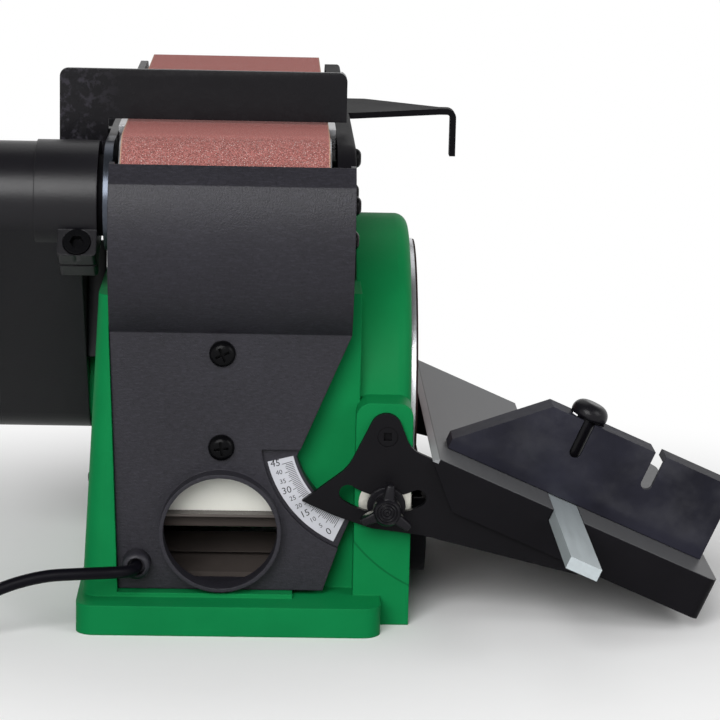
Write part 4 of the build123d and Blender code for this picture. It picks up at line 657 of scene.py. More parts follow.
def turned(profile, steps=32):
    """Closed shape turned about Z from radius and height pairs in millimetres."""
    shape = bmesh.new()
    verts = [shape.verts.new((radius * MM, 0, height * MM)) for radius, height in profile]
    geom = verts + chain(shape, verts)
    bmesh.ops.spin(
        shape, geom=geom, cent=(0, 0, 0), axis=(0, 0, 1), angle=2 * pi, steps=steps, use_merge=True
    )
    bmesh.ops.remove_doubles(shape, verts=shape.verts, dist=1e-7)
    bmesh.ops.recalc_face_normals(shape, faces=shape.faces)
    return shape


def sink(shape, recesses, floor):
    """Presses recesses into the top of a turned shape, down to a height.

    A recess is a list of cuts, each an angle in degrees and a half width in millimetres.
    """
    cuts = sorted({cut for recess in recesses for cut in recess})
    for angle, half in cuts:
        normal = Vector((*on_circle(1, angle), 0))
        for side in (-1, 1):
            everything = shape.verts[:] + shape.edges[:] + shape.faces[:]
            bmesh.ops.bisect_plane(
                shape, geom=everything, dist=1e-8, plane_co=normal * half * MM * side, plane_no=normal
            )

    def within(middle, angle, half):
        across, up = on_circle(1, angle)
        return abs(middle.x * across + middle.y * up) < half * MM

    def pressed(face):
        middle = face.calc_center_median()
        inside = any(all(within(middle, *cut) for cut in recess) for recess in recesses)
        return inside and face.normal.z > 0.3 and middle.z > floor * MM

    tops = [face for face in shape.faces if pressed(face)]
    sunk = bmesh.ops.extrude_face_region(shape, geom=tops)["geom"]
    for vert in verts_of(sunk):
        vert.co.z = floor * MM
    bmesh.ops.delete(shape, geom=[face for face in tops if face.is_valid], context="FACES")
    return shape


def gather(shape, places):
    """One bmesh with a copy of the shape at each place."""
    mesh = bpy.data.meshes.new("copied")
    shape.to_mesh(mesh)
    shape.free()
    group = bmesh.new()
    for place in places:
        before = set(group.verts)
        group.from_mesh(mesh)
        fresh = [vert for vert in group.verts if vert not in before]
        bmesh.ops.transform(group, matrix=place, verts=fresh)
    bpy.data.meshes.remove(mesh)
    return group


def merge(*shapes):
    """One bmesh of several, which are freed."""
    group = bmesh.new()
    for shape in shapes:
        mesh = bpy.data.meshes.new("merged")
        shape.to_mesh(mesh)
        shape.free()
        group.from_mesh(mesh)
        bpy.data.meshes.remove(mesh)
    return group


def facing(point, direction):
    """Place whose +Z looks along a direction, at a point in millimetres."""
    turn = Vector(direction).to_track_quat("Z", "Y").to_matrix().to_4x4()
    return Matrix.Translation(Vector(point) * MM) @ turn


def piece(name, shape, body, look, replaced=None, sharp=35):
    """Finished piece from a bmesh, riding on a body; look is its finish and its slot, and the slot is
    unused.
    """
    bmesh.ops.recalc_face_normals(shape, faces=shape.faces)
    for face in shape.faces:
        face.smooth = True
    mesh = bpy.data.meshes.new(name)
    shape.to_mesh(mesh)
    shape.free()
    mesh.set_sharp_from_angle(angle=radians(sharp))
    finish, slot = look
    mesh.materials.append(material(finish))
    made = shown(name, mesh)
    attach(made, body)
    if replaced:
        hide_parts(replaced)
    return made


def bar(width, height, depth):
    """Box in millimetres, centred on X and Y, from 0 to depth along Z."""
    shape = bmesh.new()
    bmesh.ops.create_cube(shape, size=1.0)
    bmesh.ops.translate(shape, vec=(0, 0, 0.5), verts=shape.verts)
    bmesh.ops.scale(shape, vec=(width * MM, height * MM, depth * MM), verts=shape.verts)
    return shape


def bevel(shape, geom, width, segments, affect):
    bmesh.ops.bevel(
        shape, geom=geom, offset=width * MM, offset_type="OFFSET", segments=segments,
        profile=0.5, affect=affect, clamp_overlap=True, material=-1,
    )


def round_edges(shape, edges, width):
    bevel(shape, edges, width, 3, "EDGES")


def chain(shape, path):
    """Edges from each vertex of a path to the next."""
    return [shape.edges.new(pair) for pair in zip(path, path[1:])]


def arc(shape, vert, centre, turn, axis, steps):
    """Arc from a vertex about a centre, by an angle in degrees; gives its end."""
    made = bmesh.ops.spin(shape, geom=[vert], cent=centre, axis=axis, angle=radians(turn), steps=steps)
    return verts_of(made["geom_last"])[0]


def round_outline(shape, corners, width):
    """Fills the outline that is drawn so far and rounds some of its corners."""
    bmesh.ops.contextual_create(shape, geom=shape.edges[:])
    bevel(shape, corners, width, 5, "VERTICES")


def pull(shape, faces, move):
    """Draws faces out by a move; gives the faces and vertices at the end."""
    grown = bmesh.ops.extrude_face_region(shape, geom=faces)["geom"]
    moved = verts_of(grown)
    bmesh.ops.translate(shape, vec=move, verts=moved)
    return [item for item in grown if isinstance(item, bmesh.types.BMFace)], moved


def plate(shape, move):
    """Sheet of some thickness from the loops that are drawn so far, open at the inner ones."""
    bmesh.ops.triangle_fill(shape, use_beauty=True, use_dissolve=False, edges=shape.edges[:])
    pull(shape, shape.faces[:], move)
    return shape


def lettering(text, height, place, thickness):
    """Number as a mesh, centred, its height in metres, at a place."""
    curve = bpy.data.curves.new("digits", "FONT")
    curve.body = text
    curve.size = height / 0.7
    curve.align_x = "CENTER"
    curve.align_y = "CENTER"
    curve.extrude = thickness
    curve.resolution_u = 3
    holder = shown("digits", curve)
    bpy.context.view_layer.update()
    mesh = bpy.data.meshes.new_from_object(holder.evaluated_get(bpy.context.evaluated_depsgraph_get()))
    bpy.data.objects.remove(holder)
    bpy.data.curves.remove(curve)
    shape = bmesh.new()
    shape.from_mesh(mesh)
    bpy.data.meshes.remove(mesh)
    bmesh.ops.remove_doubles(shape, verts=shape.verts, dist=1e-7)
    bmesh.ops.transform(shape, matrix=place, verts=shape.verts)
    return shape


class SANDER_OT_stage(bpy.types.Operator):
    """Camera, floor, soft light and white surroundings"""

    bl_idname = "sander.stage"
    bl_label = "Stage"

    camera_place = (0.021588, -1.439715, 0.423531)
    camera_turns = ((-1.955, "Z"), (90 - 12.231, "X"), (1.336, "Z"))
    # Past its shadow the floor fades to plain white, in metres from the shadow's middle
    shadow_middle, shadow_wide, shadow_fade = (0.03, -0.03), 0.8, (0.16, 0.42)
    # Name, place, target, size in metres and power of each lamp
    lamps = (
        ("key", (-0.4, -1.7, 1.0), (0.0, -0.02, 0.13), 1.2, 30.0),
        ("fill", (1.4, -0.9, 0.9), (0.05, -0.05, 0.1), 1.0, 8.0),
        ("back", (0.1, 0.9, 1.5), (0.0, 0.1, 0.15), 1.2, 3.0),
    )

    def execute(self, context):
        context.scene.view_settings.view_transform = "Standard"
        sizes, tones = settings()
        self.make_camera(context.scene, sizes)
        self.make_floor(sizes, tones)
        for lamp in self.lamps:
            self.make_lamp(*lamp)
        self.make_surroundings(context.scene)
        return {"FINISHED"}

    def make_camera(self, scene, sizes):
        lens = bpy.data.cameras.new("camera")
        lens.lens = sizes.lens
        lens.sensor_width = 36
        camera = shown("camera", lens)
        place = Matrix.Translation(self.camera_place)
        for angle, axis in self.camera_turns:
            place = place @ spun(angle, axis)
        camera.matrix_world = place
        scene.camera = camera

    def make_floor(self, sizes, tones):
        shape = bmesh.new()
        bmesh.ops.create_grid(shape, x_segments=2, y_segments=2, size=sizes.floor_reach)
        mesh = bpy.data.meshes.new("floor")
        shape.to_mesh(mesh)
        shape.free()
        floor = shown("floor", mesh)
        finish = Finish("studio_floor", scaled(tones.floor, 0.985))
        x, y, z = finish.axes()
        across, back = self.shadow_middle
        apart = (((x - across) * self.shadow_wide) ** 2.0 + (y - back) ** 2.0) ** 0.5
        eye = finish.seen()
        far = finish.ramp(apart, *self.shadow_fade)
        finish.over(finish.noise(60, 3, 0.5), tones.floor)
        finish.colour = finish.mix(eye, (0.16, 0.16, 0.16), finish.colour)
        finish.roughness = 0.9
        finish.done()
        glow = finish.node("Emission", {"Color": WHITE, "Strength": 1.0})
        finish.show("Material", eye * far, Wire(finish, finish.surface.outputs[0]), glow)
        mesh.materials.append(finish.material)

    def make_lamp(self, name, place, target, size, power):
        lamp = bpy.data.lights.new(name, "AREA")
        lamp.shape = "DISK"
        lamp.size = size
        lamp.energy = power
        aim = (Vector(target) - Vector(place)).to_track_quat("-Z", "Y").to_matrix().to_4x4()
        shown(name, lamp).matrix_world = Matrix.Translation(place) @ aim

    def make_surroundings(self, scene):
        sky = Finish("surroundings", world=bpy.data.worlds.new("surroundings"))
        scene.world = sky.material
        rise = sky.parts(sky.node("TexCoord", output="Generated"))[2]
        open_side = sky.ramp(rise, 0.3, 0.8, True)
        soft = sky.node("Background", {"Color": WHITE, "Strength": 0.3})
        white = sky.node("Background", {"Color": WHITE, "Strength": 0.15 + 0.85 * open_side})
        sky.show("World", sky.seen(), soft, white)


class SANDER_OT_finishes(bpy.types.Operator):
    """Paints, plastics, metals and grit of the solids"""

    bl_idname = "sander.finishes"
    bl_label = "Finishes"

    def execute(self, context):
        tones = settings()[1]
        self.make_coats(tones)
        for special in (
            green_casting, cover_grain, stop_enamel, belt_grit, disc_grit, table_paint, left_plate,
            plug_finish, lead_vinyl, label_ground, sheet_ground, wound_copper,
        ):
            special(tones)
        mitre_enamel()
        ink("printing", tones.printing, 0.55, 0.7, 1.5)
        ink("white_mark", tones.label, 0.5, 0.85, 1.1)
        self.make_metals(tones)
        for name, nodes in WORN_BY.items():
            for node in nodes.split():
                slots = NODES[node].data.materials
                slots.clear()
                slots.append(material(name))
        return {"FINISHED"}

    def make_coats(self, tones):
        black, plastic = tones.enamel, tones.plastic
        for coat in (
            coated("case_plastic", plastic, 0.34, 900, 0.00005, edge=0.0009, mottle=0.08, gloss=0.26),
            coated("satin_enamel", black, 0.5, 600, 0.00003, worn=0.25, bare=(0.07, 0.07, 0.08), gloss=0.03),
            coated(
                "bracket_satin", scaled(black, 0.85), 0.45, 800, 0.00003, edge=0.0003, worn=0.3,
                bare=(0.09, 0.09, 0.09), gloss=0.08,
            ),
            coated("knob_plastic", plastic, 0.3, 1100, 0.00004, mottle=0.1, gloss=0.16),
            coated("guard_plastic", scaled(plastic, 0.7), 0.45, 900, 0.00005, edge=0.0008, gloss=0.05),
            coated("rubber", tones.rubber, 0.7, 1400, 0.00008, edge=0.0004),
            coated(
                "oxide_finish", tones.oxide, 0.26, 1500, 0.00002, edge=0.0003, worn=0.25,
                bare=(0.12, 0.12, 0.13), gloss=0.07,
            ),
            coated("switch_plastic", scaled(plastic, 0.8), 0.28, 1400, 0.00002, edge=0.0005, gloss=0.35),
            coated("port_soot", tones.soot, 0.7, 700, 0.00005, edge=0.0004, mottle=0.25, gloss=0.15),
        ):
            coat.done()

    def make_metals(self, tones):
        dull = scaled(tones.aluminium, 0.8)
        turned_metal("disc_rim", tones.aluminium, 0.3, MOTOR, 0.0006)
        turned_metal("drum_face", dull, 0.38, DRUM, 0.0009)
        turned_metal("idler_face", dull, 0.38, (IDLER_Y, DRUM[1]), 0.0009)
        turned_metal("pulley_face", scaled(tones.aluminium, 0.75), 0.4, MOTOR, 0.0009)
        metal("drawn_aluminium", paint_tone(190, 199, 202), 0.42, (1.0, 0.05, 1.0), dirt=0.15, bright=0.45)
        metal("cast_aluminium", scaled(tones.aluminium, 0.6), 0.5, EVEN, 900, 0.00006)
        metal("zinc_plate", tones.zinc, 0.3, EVEN, 700, 0.00001)
        metal("ground_steel", tones.steel, 0.3, (0.06, 1.0, 1.0))
        metal("spring_steel", scaled(tones.steel, 0.55), 0.3, (1.0, 0.1, 1.0))


class SANDER_OT_power_lead(bpy.types.Operator):
    """Power lead from the cover to its coil and plug"""

    bl_idname = "sander.power_lead"
    bl_label = "Power lead"

    route = (
        (-41.0, -114.0, 31.0),
        (-41.0, -123.5, 31.2),
        (-45.0, -130.5, 32.2),
        (-53.0, -136.0, 33.3),
        (-66.0, -139.5, 33.6),
        (-86.0, -142.5, 33.2),
        (-109.0, -148.0, 27.0),
        (-133.0, -157.5, 14.0),
        (-156.0, -168.0, 4.5),
        (-178.0, -168.0, 4.5),
    )
    # The coil spirals in, climbs a layer half way and spirals out, then swings off to the plug
    coil_ring, coil_pitch, coil_low = 44.0, 6.4, 4.5
    half_way, climb_from, climb_turn = 1080, 990, 180
    coil_end, tail_turn, tail_out, tail_rise = 2160, 90, 25.0, 7.1
    # How far the control points stand off the line, and the straight end in the plug
    coil_stand, tail_stand, plug_run = 1 / 0.966, 1.008, 6.0

    def turn_point(self, turn, outside):
        """Control point of the coil at a turn angle; outside is how far it stands off the line."""
        climb = eased((turn - self.climb_from) / self.climb_turn)
        tail = eased((turn - self.coil_end) / self.tail_turn)
        inward = (self.half_way - abs(turn - self.half_way)) / 360
        radius = (self.coil_ring - self.coil_pitch * inward + self.tail_out * tail) * outside
        across, back = on_circle(radius, -90 - turn)
        height = self.coil_low + self.coil_pitch * climb + self.tail_rise * tail
        return COIL[0] + across, COIL[1] + back, height

    def control_points(self):
        plug_turn = self.coil_end + self.tail_turn
        points = list(self.route)
        points += [self.turn_point(turn, self.coil_stand) for turn in range(15, self.coil_end, 30)]
        points += [self.turn_point(turn, self.tail_stand) for turn in range(self.coil_end, plug_turn, 15)]
        last = Vector(self.turn_point(plug_turn, 1.0))
        heading = (last - Vector(self.turn_point(plug_turn - 0.1, 1.0))).normalized()
        return points + [last, last + heading * self.plug_run]

    def execute(self, context):
        sizes = settings()[0]
        points = self.control_points()
        curve = bpy.data.curves.new("power_lead", "CURVE")
        curve.dimensions = "3D"
        spline = curve.splines.new("NURBS")
        spline.points.add(len(points) - 1)
        for control, point in zip(spline.points, points):
            control.co = (*(Vector(point) * MM), 1)
        spline.order_u = 3
        spline.use_endpoint_u = True
        spline.resolution_u = 6
        curve.bevel_depth = sizes.lead_diameter / 2
        curve.bevel_resolution = 5
        curve.use_fill_caps = True
        curve.materials.append(material("lead_vinyl"))
        lead = shown("power_lead", curve)
        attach(lead, "base")
        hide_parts("power_cord", "cord_coil")
        return {"FINISHED"}


class SANDER_OT_cross_screws(bpy.types.Operator):
    """Pan-head screws with cross recesses"""

    bl_idname = "sander.cross_screws"
    bl_label = "Cross-head screws"

    # Rounding of a head, as shares of its radius and height
    dome = ((0, 1), (0.5, 0.985), (0.72, 0.9), (0.9, 0.68), (0.985, 0.38), (1, 0.12), (1, 0))
    cross_wide, cross_reach, cross_floor = 0.1, 0.56, 0.3
    cover_heights_turns = ((137.0, 24), (90.0, 8))
    case_face, case_off = CASE_LEFT - 5.0, 23.5
    motor_face, motor_ring = -74.0, 16.5
    guard_x, guard_y, guard_z = 103.0, 82.0, 46.0
    wall_at, wall_out = (-65.9, -60.0, 61.0), (-1, 0, -0.05)

    def screws(self, head, height, shank, length, places):
        profile = [(head * out, height * up) for out, up in self.dome]
        profile += [(shank, 0), (shank, -length + 1), (shank * 0.6, -length), (0, -length)]
        wide, reach = head * self.cross_wide, head * self.cross_reach
        cross = [[(0, wide), (90, reach)], [(0, reach), (90, wide)]]
        return gather(sink(turned(profile), cross, height * self.cross_floor), places)

    def case_places(self):
        """Four screws round the drive cover and three that hold the case to the motor's end."""
        span = Vector((0, DRUM[0], DRUM[1] - MOTOR_Z))
        middle = Vector((self.case_face, DRUM[0] / 2, (DRUM[1] + MOTOR_Z) / 2))
        away = Vector((1, 0, 0)).cross(span.normalized())
        places = []
        for side in (-1, 1):
            for end in (-1, 1):
                spot = middle + span * side / 4 + away * end * self.case_off
                places.append(facing(spot, LEFTWARD) @ spun(31 * side + 17 * end))
        for angle in (90, 210, 330):
            back, up = on_circle(self.motor_ring, angle)
            places.append(facing((self.motor_face, back, MOTOR_Z + up), LEFTWARD))
        return places

    def bracket_places(self):
        places = []
        for side in (-1, 1):
            for out, up in BRACKET_SCREWS:
                spot = PIVOT_POINT + ALONG * out + UPWARD * up
                spot.y = side * (BRACKET_OUT - BRACKET_THICK)
                places.append(facing(spot, (0, -side, 0)))
        return places

    def execute(self, context):
        cover = [facing((0, PANEL_Y, z), FORWARD) @ spun(turn) for z, turn in self.cover_heights_turns]
        guard = [facing((self.guard_x, side * self.guard_y, self.guard_z), RIGHTWARD) for side in (-1, 1)]
        case, bracket = self.case_places(), self.bracket_places()
        wall = [facing(self.wall_at, self.wall_out)]
        # Name, head radius and height, shank radius and length, places, body, look and node replaced
        for name, size, places, body, look, node in (
            ("cover_screw_heads", (6.5, 4.4, 2.0, 12.0), cover, "base", OXIDE_LOOK, "cover_screws"),
            ("drive_case_screws", (3.2, 2.2, 1.6, 12.0), case, "base", ZINC_LOOK, "drive_screws"),
            ("disc_guard_screws", (4.0, 2.4, 2.0, 17.0), guard, "base", ZINC_LOOK, "guard_screws"),
            ("bracket_plate_screws", (4.0, 2.4, 2.0, 5.4), bracket, "table", ZINC_LOOK, "bracket_screws"),
            ("side_wall_screw", (3.4, 2.4, 1.4, 5.0), wall, "base", OXIDE_LOOK, None),
        ):
            piece(name, self.screws(*size, places), body, look, node)
        return {"FINISHED"}


class SANDER_OT_socket_screws(bpy.types.Operator):
    """Button-head screws of the belt arm, with hexagon sockets"""

    bl_idname = "sander.socket_screws"
    bl_label = "Socket screws"

    profile = (
        (0, 2.6), (2.4, 2.58), (3.2, 2.3), (4.1, 1.6), (4.6, 0.8), (4.75, 0.25), (4.75, 0),
        (2.5, 0), (2.5, -7.4), (1.8, -8.4), (0, -8.4),
    )
    hexagon, socket_floor = ((0, 1.5), (60, 1.5), (120, 1.5)), 0.9
    ring, ties = 20.5, (46.0, 156.0)
    left_face, right_face = -58.8, 63.7

    def execute(self, context):
        ring = [on_circle(self.ring, angle) for angle in (0, 90, 180, 270)]
        spots = [(DRUM[0] + back, DRUM[1] + up) for back, up in ring]
        ties = [(y, DRUM[1]) for y in self.ties]
        places = []
        for index, (y, z) in enumerate(spots + ties):
            places.append(facing((self.right_face, y, z), RIGHTWARD) @ spun(13 * index))
        for y, z in ties:
            places.append(facing((self.left_face, y, z), LEFTWARD))
        screw = sink(turned(self.profile), [self.hexagon], self.socket_floor)
        piece("arm_button_screws", gather(screw, places), "arm", OXIDE_LOOK, "arm_screws")
        return {"FINISHED"}


class SANDER_OT_scale_print(bpy.types.Operator):
    """Marks and numbers of the table's angle scale"""

    bl_idname = "sander.scale_print"
    bl_label = "Angle scale print"

    tick_ring, large_ring, small_ring = 48.6, 57.0, 56.6
    long_tick, tick, short_tick = 5.4, 4.2, 3.7
    digit_shift, digit_turn, small_share = 1.3, 0.55, 0.68

    def execute(self, context):
        sizes = settings()[0]
        shapes = []
        for reading in range(46):
            below = SCALE_ZERO - reading
            step = reading % 5
            reach = self.long_tick if step == 0 else self.short_tick if step in (1, 4) else self.tick
            x, z = on_pivot(self.tick_ring + reach / 2, below)
            tick = bar(reach, sizes.tick_width / MM, sizes.print_height / MM)
            shapes.append(gather(tick, [facing((x, SCALE_FACE, z), FORWARD) @ spun(below)]))
            if step == 0:
                large = reading % 15 == 0
                x, z = on_pivot(self.large_ring if large else self.small_ring, below - self.digit_shift)
                place = facing((x, SCALE_FACE, z), FORWARD) @ spun(self.digit_turn * below)
                height = sizes.digit_height * (1.0 if large else self.small_share)
                shapes.append(lettering(str(reading), height, place, sizes.print_height))
        piece("angle_scale_print", merge(*shapes), "base", PRINT_LOOK)
        return {"FINISHED"}


class SANDER_OT_table_knobs(bpy.types.Operator):
    """Three-winged lock knobs of the table, with turned rings on their caps"""

    bl_idname = "sander.table_knobs"
    bl_label = "Table knobs"

    hub = (
        (4.2, 0), (9.5, 0), (9.5, 1.2), (9.1, 1.6), (6.4, 1.6), (6.0, 5.6), (6.9, 7.0), (6.9, 13.8),
        (6.4, 14.6),
    )
    bore = ((0, 15.0), (0, 13.2), (4.2, 13.2), (4.2, 0))
    # Rings of the cap: how far in, and their heights
    cap_out, cap_step, cap_rings = 5.9, 1.45, 4
    cap_ring = ((0, 15.3), (0.45, 15.7), (0.9, 15.3), (1.1, 15.0))
    wing_from, wing_wide, wing_tall, wing_low, wing_mid = 3.0, 6.0, 8.2, 6.4, 10.5
    wing_taper, wing_soft, gap = (1, 0.62, 0.86), 0.9, 0.3

    def knob(self, reach, first):
        profile = list(self.hub)
        for ring in range(self.cap_rings):
            out = self.cap_out - self.cap_step * ring
            profile += [(out - inward, height) for inward, height in self.cap_ring]
        shapes = [turned(profile + list(self.bore), 48)]
        for angle in (first, first + 120, first + 240):
            wing = bar(reach - self.wing_from, self.wing_wide, self.wing_tall)
            middle = (reach + self.wing_from) / 2
            bmesh.ops.translate(wing, vec=(middle * MM, 0, self.wing_low * MM), verts=wing.verts)
            tips = [vert for vert in wing.verts if vert.co.x > (reach - 0.5) * MM]
            level = Matrix.Translation((0, 0, -self.wing_mid * MM))
            bmesh.ops.scale(wing, vec=self.wing_taper, space=level, verts=tips)
            round_edges(wing, wing.edges[:], self.wing_soft)
            bmesh.ops.rotate(wing, matrix=spun(angle).to_3x3(), verts=wing.verts)
            shapes.append(wing)
        return merge(*shapes)

    def execute(self, context):
        reach = settings()[0].knob_reach / MM
        for side, name, first in ((-1, "front", 84), (1, "rear", 96)):
            place = facing((PIVOT[0], side * (BRACKET_OUT + self.gap), STUD_Z), (0, side, 0))
            knob = gather(self.knob(reach, first), [place])
            piece(f"wing_knob_{name}", knob, f"{name}_knob", KNOB_LOOK, f"table_knob_{name}")
        return {"FINISHED"}


class SANDER_OT_table_brackets(bpy.types.Operator):
    """Table brackets: necked lobe on the pivot, pointer to the scale and slot round the lock stud"""

    bl_idname = "sander.table_brackets"
    bl_label = "Table brackets"

    # Outline from the pivot, along the table and up from it; the lobe's third value is its radius
    lobe = (-2.3, 3.1, 7.9)
    corners = (
        (13.1, -1.1), (24.55, -1.15), (28.1, -4.8), (40.0, -4.8), (45.0, -10.0), (124.0, -10.0),
        (124.0, -17.0), (118.0, -24.5), (36.4, -38.3), (11.8, -45.4), (-7.1, -47.0), (-24.9, -46.8),
        (-11.2, -22.0),
    )
    rounded, round_width = (0, 7, -1), 4.5
    slot_from, slot_turn, slot_half = -100.0, 60.0, 4.3
    pin_r, screw_r = 5.02, 2.1

    def sweep(self, shape, vert, centre, turn):
        return arc(shape, vert, at_mm(*centre, 0), turn, (0, 0, 1), 14)

    def outline(self, shape):
        across, up, radius = self.lobe
        first = shape.verts.new(at_mm(across - radius, up, 0))
        last = self.sweep(shape, first, (across, up), -135)
        rest = [shape.verts.new(at_mm(*corner, 0)) for corner in self.corners]
        chain(shape, [last, *rest, first])
        round_outline(shape, [rest[index] for index in self.rounded], self.round_width)
        bmesh.ops.delete(shape, geom=shape.faces[:], context="FACES_ONLY")

    def slot(self, shape):
        start = on_circle(STUD_RING, self.slot_from)
        end = on_circle(STUD_RING, self.slot_from + self.slot_turn)
        vert = shape.verts.new(at_mm(*on_circle(STUD_RING + self.slot_half, self.slot_from), 0))
        sides = (((0, 0), self.slot_turn), (end, 180), ((0, 0), -self.slot_turn), (start, 180))
        for centre, turn in sides:
            vert = self.sweep(shape, vert, centre, turn)
        bmesh.ops.remove_doubles(shape, verts=shape.verts, dist=1e-6)

    def bracket(self):
        shape = bmesh.new()
        self.outline(shape)
        self.slot(shape)
        holes = [((0, 0), self.pin_r)] + [(spot, self.screw_r) for spot in BRACKET_SCREWS]
        for spot, radius in holes:
            place = Matrix.Translation(at_mm(*spot, 0))
            bmesh.ops.create_circle(shape, segments=40, radius=radius * MM, matrix=place)
        return plate(shape, at_mm(0, 0, BRACKET_THICK))

    def execute(self, context):
        basis = Matrix((ALONG, UPWARD, Vector(FORWARD))).transposed().to_4x4()
        for name, depth in (("front", BRACKET_THICK - BRACKET_OUT), ("rear", BRACKET_OUT)):
            place = Matrix.Translation(at_mm(PIVOT[0], depth, PIVOT[1])) @ basis
            bracket = gather(self.bracket(), [place])
            piece(f"bracket_plate_{name}", bracket, "table", BRACKET_LOOK, f"table_bracket_{name}")
        return {"FINISHED"}


class SANDER_OT_work_stop(bpy.types.Operator):
    """Work stop: bent blade with a rounded corner, and a slotted tab for its bolt"""

    bl_idname = "sander.work_stop"
    bl_label = "Work stop"

    left, right, tab_right = -84.5, 60.0, -60.0
    low, seam, top = 203.0, 241.5, 266.5
    front, thick, depth = -36.0, 2.97, 13.0
    corner, tab_corner, soft, slope = 4.5, 4.0, 1.2, 3.0
    slot_x, slot_z, slot_r = -72.0, (207.8, 219.2), 3.3

    def spot(self, x, z):
        return at_mm(x, self.front, z)

    def outline(self, shape, points):
        return [shape.verts.new(self.spot(*point)) for point in points]

    def sweep(self, shape, vert, centre, turn):
        return arc(shape, vert, self.spot(*centre), turn, (0, 1, 0), 10)

    def open_seam(self, shape):
        """Takes away the face where the blade and the tab meet."""

        def at_seam(face):
            flat = all(abs(vert.co.z - self.seam * MM) < 1e-6 for vert in face.verts)
            return flat and face.calc_center_median().x < self.tab_right * MM

        bmesh.ops.delete(shape, geom=[face for face in shape.faces if at_seam(face)], context="FACES_ONLY")
        return shape

    def on_rim(self, edge):
        """Whether an edge is one of the front edges that are softened."""
        middle = (edge.verts[0].co + edge.verts[1].co) / 2
        ahead = all(abs(vert.co.y - self.front * MM) < 1e-6 for vert in edge.verts)
        right = middle.x > (self.left + self.tab_corner) * MM
        return ahead and right and middle.z > (self.seam + 1) * MM

    def bend_back(self, shape, back):
        """Draws the right end of the blade out into a flange that slopes at its end."""
        inner = (self.right - self.thick) * MM
        ends = [vert for vert in back.verts if abs(vert.co.x - inner) < 1e-6]
        halves = [back, bmesh.utils.face_split(back, *ends)[0]]
        flange = max(halves, key=lambda face: face.calc_center_median().x)
        straight, _ = pull(shape, [flange], at_mm(0, self.depth - self.thick - self.slope, 0))
        _, moved = pull(shape, straight, at_mm(0, self.slope, 0))
        upper = [vert for vert in moved if vert.co.z > (self.seam + 1) * MM]
        bmesh.ops.translate(shape, vec=at_mm(0, 0, -self.slope), verts=upper)
        bmesh.ops.delete(shape, geom=[flange, *straight], context="FACES_ONLY")

    def blade(self):
        shape = bmesh.new()
        inner = self.right - self.thick
        centre = (self.right - self.corner, self.top - self.corner)
        split = degrees(acos((inner - centre[0]) / self.corner))
        start = shape.verts.new(self.spot(centre[0], self.top))
        knee = self.sweep(shape, start, centre, 90 - split)
        end = self.sweep(shape, knee, centre, split)
        low = [(x, self.seam) for x in (self.right, inner, self.tab_right, self.left)]
        rest = self.outline(shape, (*low, (self.left, self.top)))
        chain(shape, [end, *rest, start])
        round_outline(shape, [rest[-1]], self.tab_corner)
        faces, _ = pull(shape, shape.faces[:], at_mm(0, self.thick, 0))
        self.bend_back(shape, faces[0])
        round_edges(shape, [edge for edge in shape.edges if self.on_rim(edge)], self.soft)
        return self.open_seam(shape)

    def tab(self):
        shape = bmesh.new()
        upper = [(self.left, self.seam), (self.tab_right, self.seam)]
        rim = self.outline(shape, (*upper, (self.tab_right, self.low), (self.left, self.low)))
        chain(shape, [*rim, rim[0]])
        round_outline(shape, rim[2:], self.tab_corner)
        bmesh.ops.delete(shape, geom=shape.faces[:], context="FACES_ONLY")
        under, over = self.slot_z
        first = shape.verts.new(self.spot(self.slot_x + self.slot_r, over))
        second = self.sweep(shape, first, (self.slot_x, over), -180)
        third = shape.verts.new(self.spot(self.slot_x - self.slot_r, under))
        last = self.sweep(shape, third, (self.slot_x, under), -180)
        chain(shape, [second, third])
        chain(shape, [last, first])
        return self.open_seam(plate(shape, at_mm(0, self.thick, 0)))

    def execute(self, context):
        shape = merge(self.blade(), self.tab())
        bmesh.ops.remove_doubles(shape, verts=shape.verts, dist=1e-6)
        piece("stop_blade", shape, "stop", STOP_LOOK, "work_stop")
        return {"FINISHED"}


class SANDER_OT_pivots(bpy.types.Operator):
    """Table pivot pins with square sockets, and the threaded lock studs"""

    bl_idname = "sander.pivots"
    bl_label = "Pivot pins and studs"

    pin = ((0, 0), (4.95, 0), (4.98, -0.05), (4.98, -15.0), (0, -15.0))
    socket, socket_floor, pin_sunk = ((0, 2.0), (90, 2.0)), -3.0, 0.6
    thread_crest, thread_root, thread_pitch, thread_turns = 3.98, 3.55, 0.85, 29

    def stud(self):
        crest, root = self.thread_crest, self.thread_root
        profile = [(0, 13.0), (3.2, 13.0)]
        for step in range(self.thread_turns):
            drop = step * self.thread_pitch
            profile += [(crest, 12.4 - drop), (root, 12.0 - drop)]
        return turned(profile + [(crest, -12.6), (crest, -15.3), (0, -15.3)], 24)

    def both_sides(self, out, height):
        return [facing((PIVOT[0], side * out, height), (0, side, 0)) for side in (-1, 1)]

    def execute(self, context):
        pin = sink(turned(self.pin), [self.socket], self.socket_floor)
        pins = gather(pin, self.both_sides(BRACKET_OUT - self.pin_sunk, PIVOT[1]))
        piece("table_pivot_pins", pins, "base", BRACKET_LOOK, "trunnion_pins")
        studs = gather(self.stud(), self.both_sides(BRACKET_OUT, STUD_Z))
        piece("table_lock_studs", studs, "base", ZINC_LOOK)
        return {"FINISHED"}


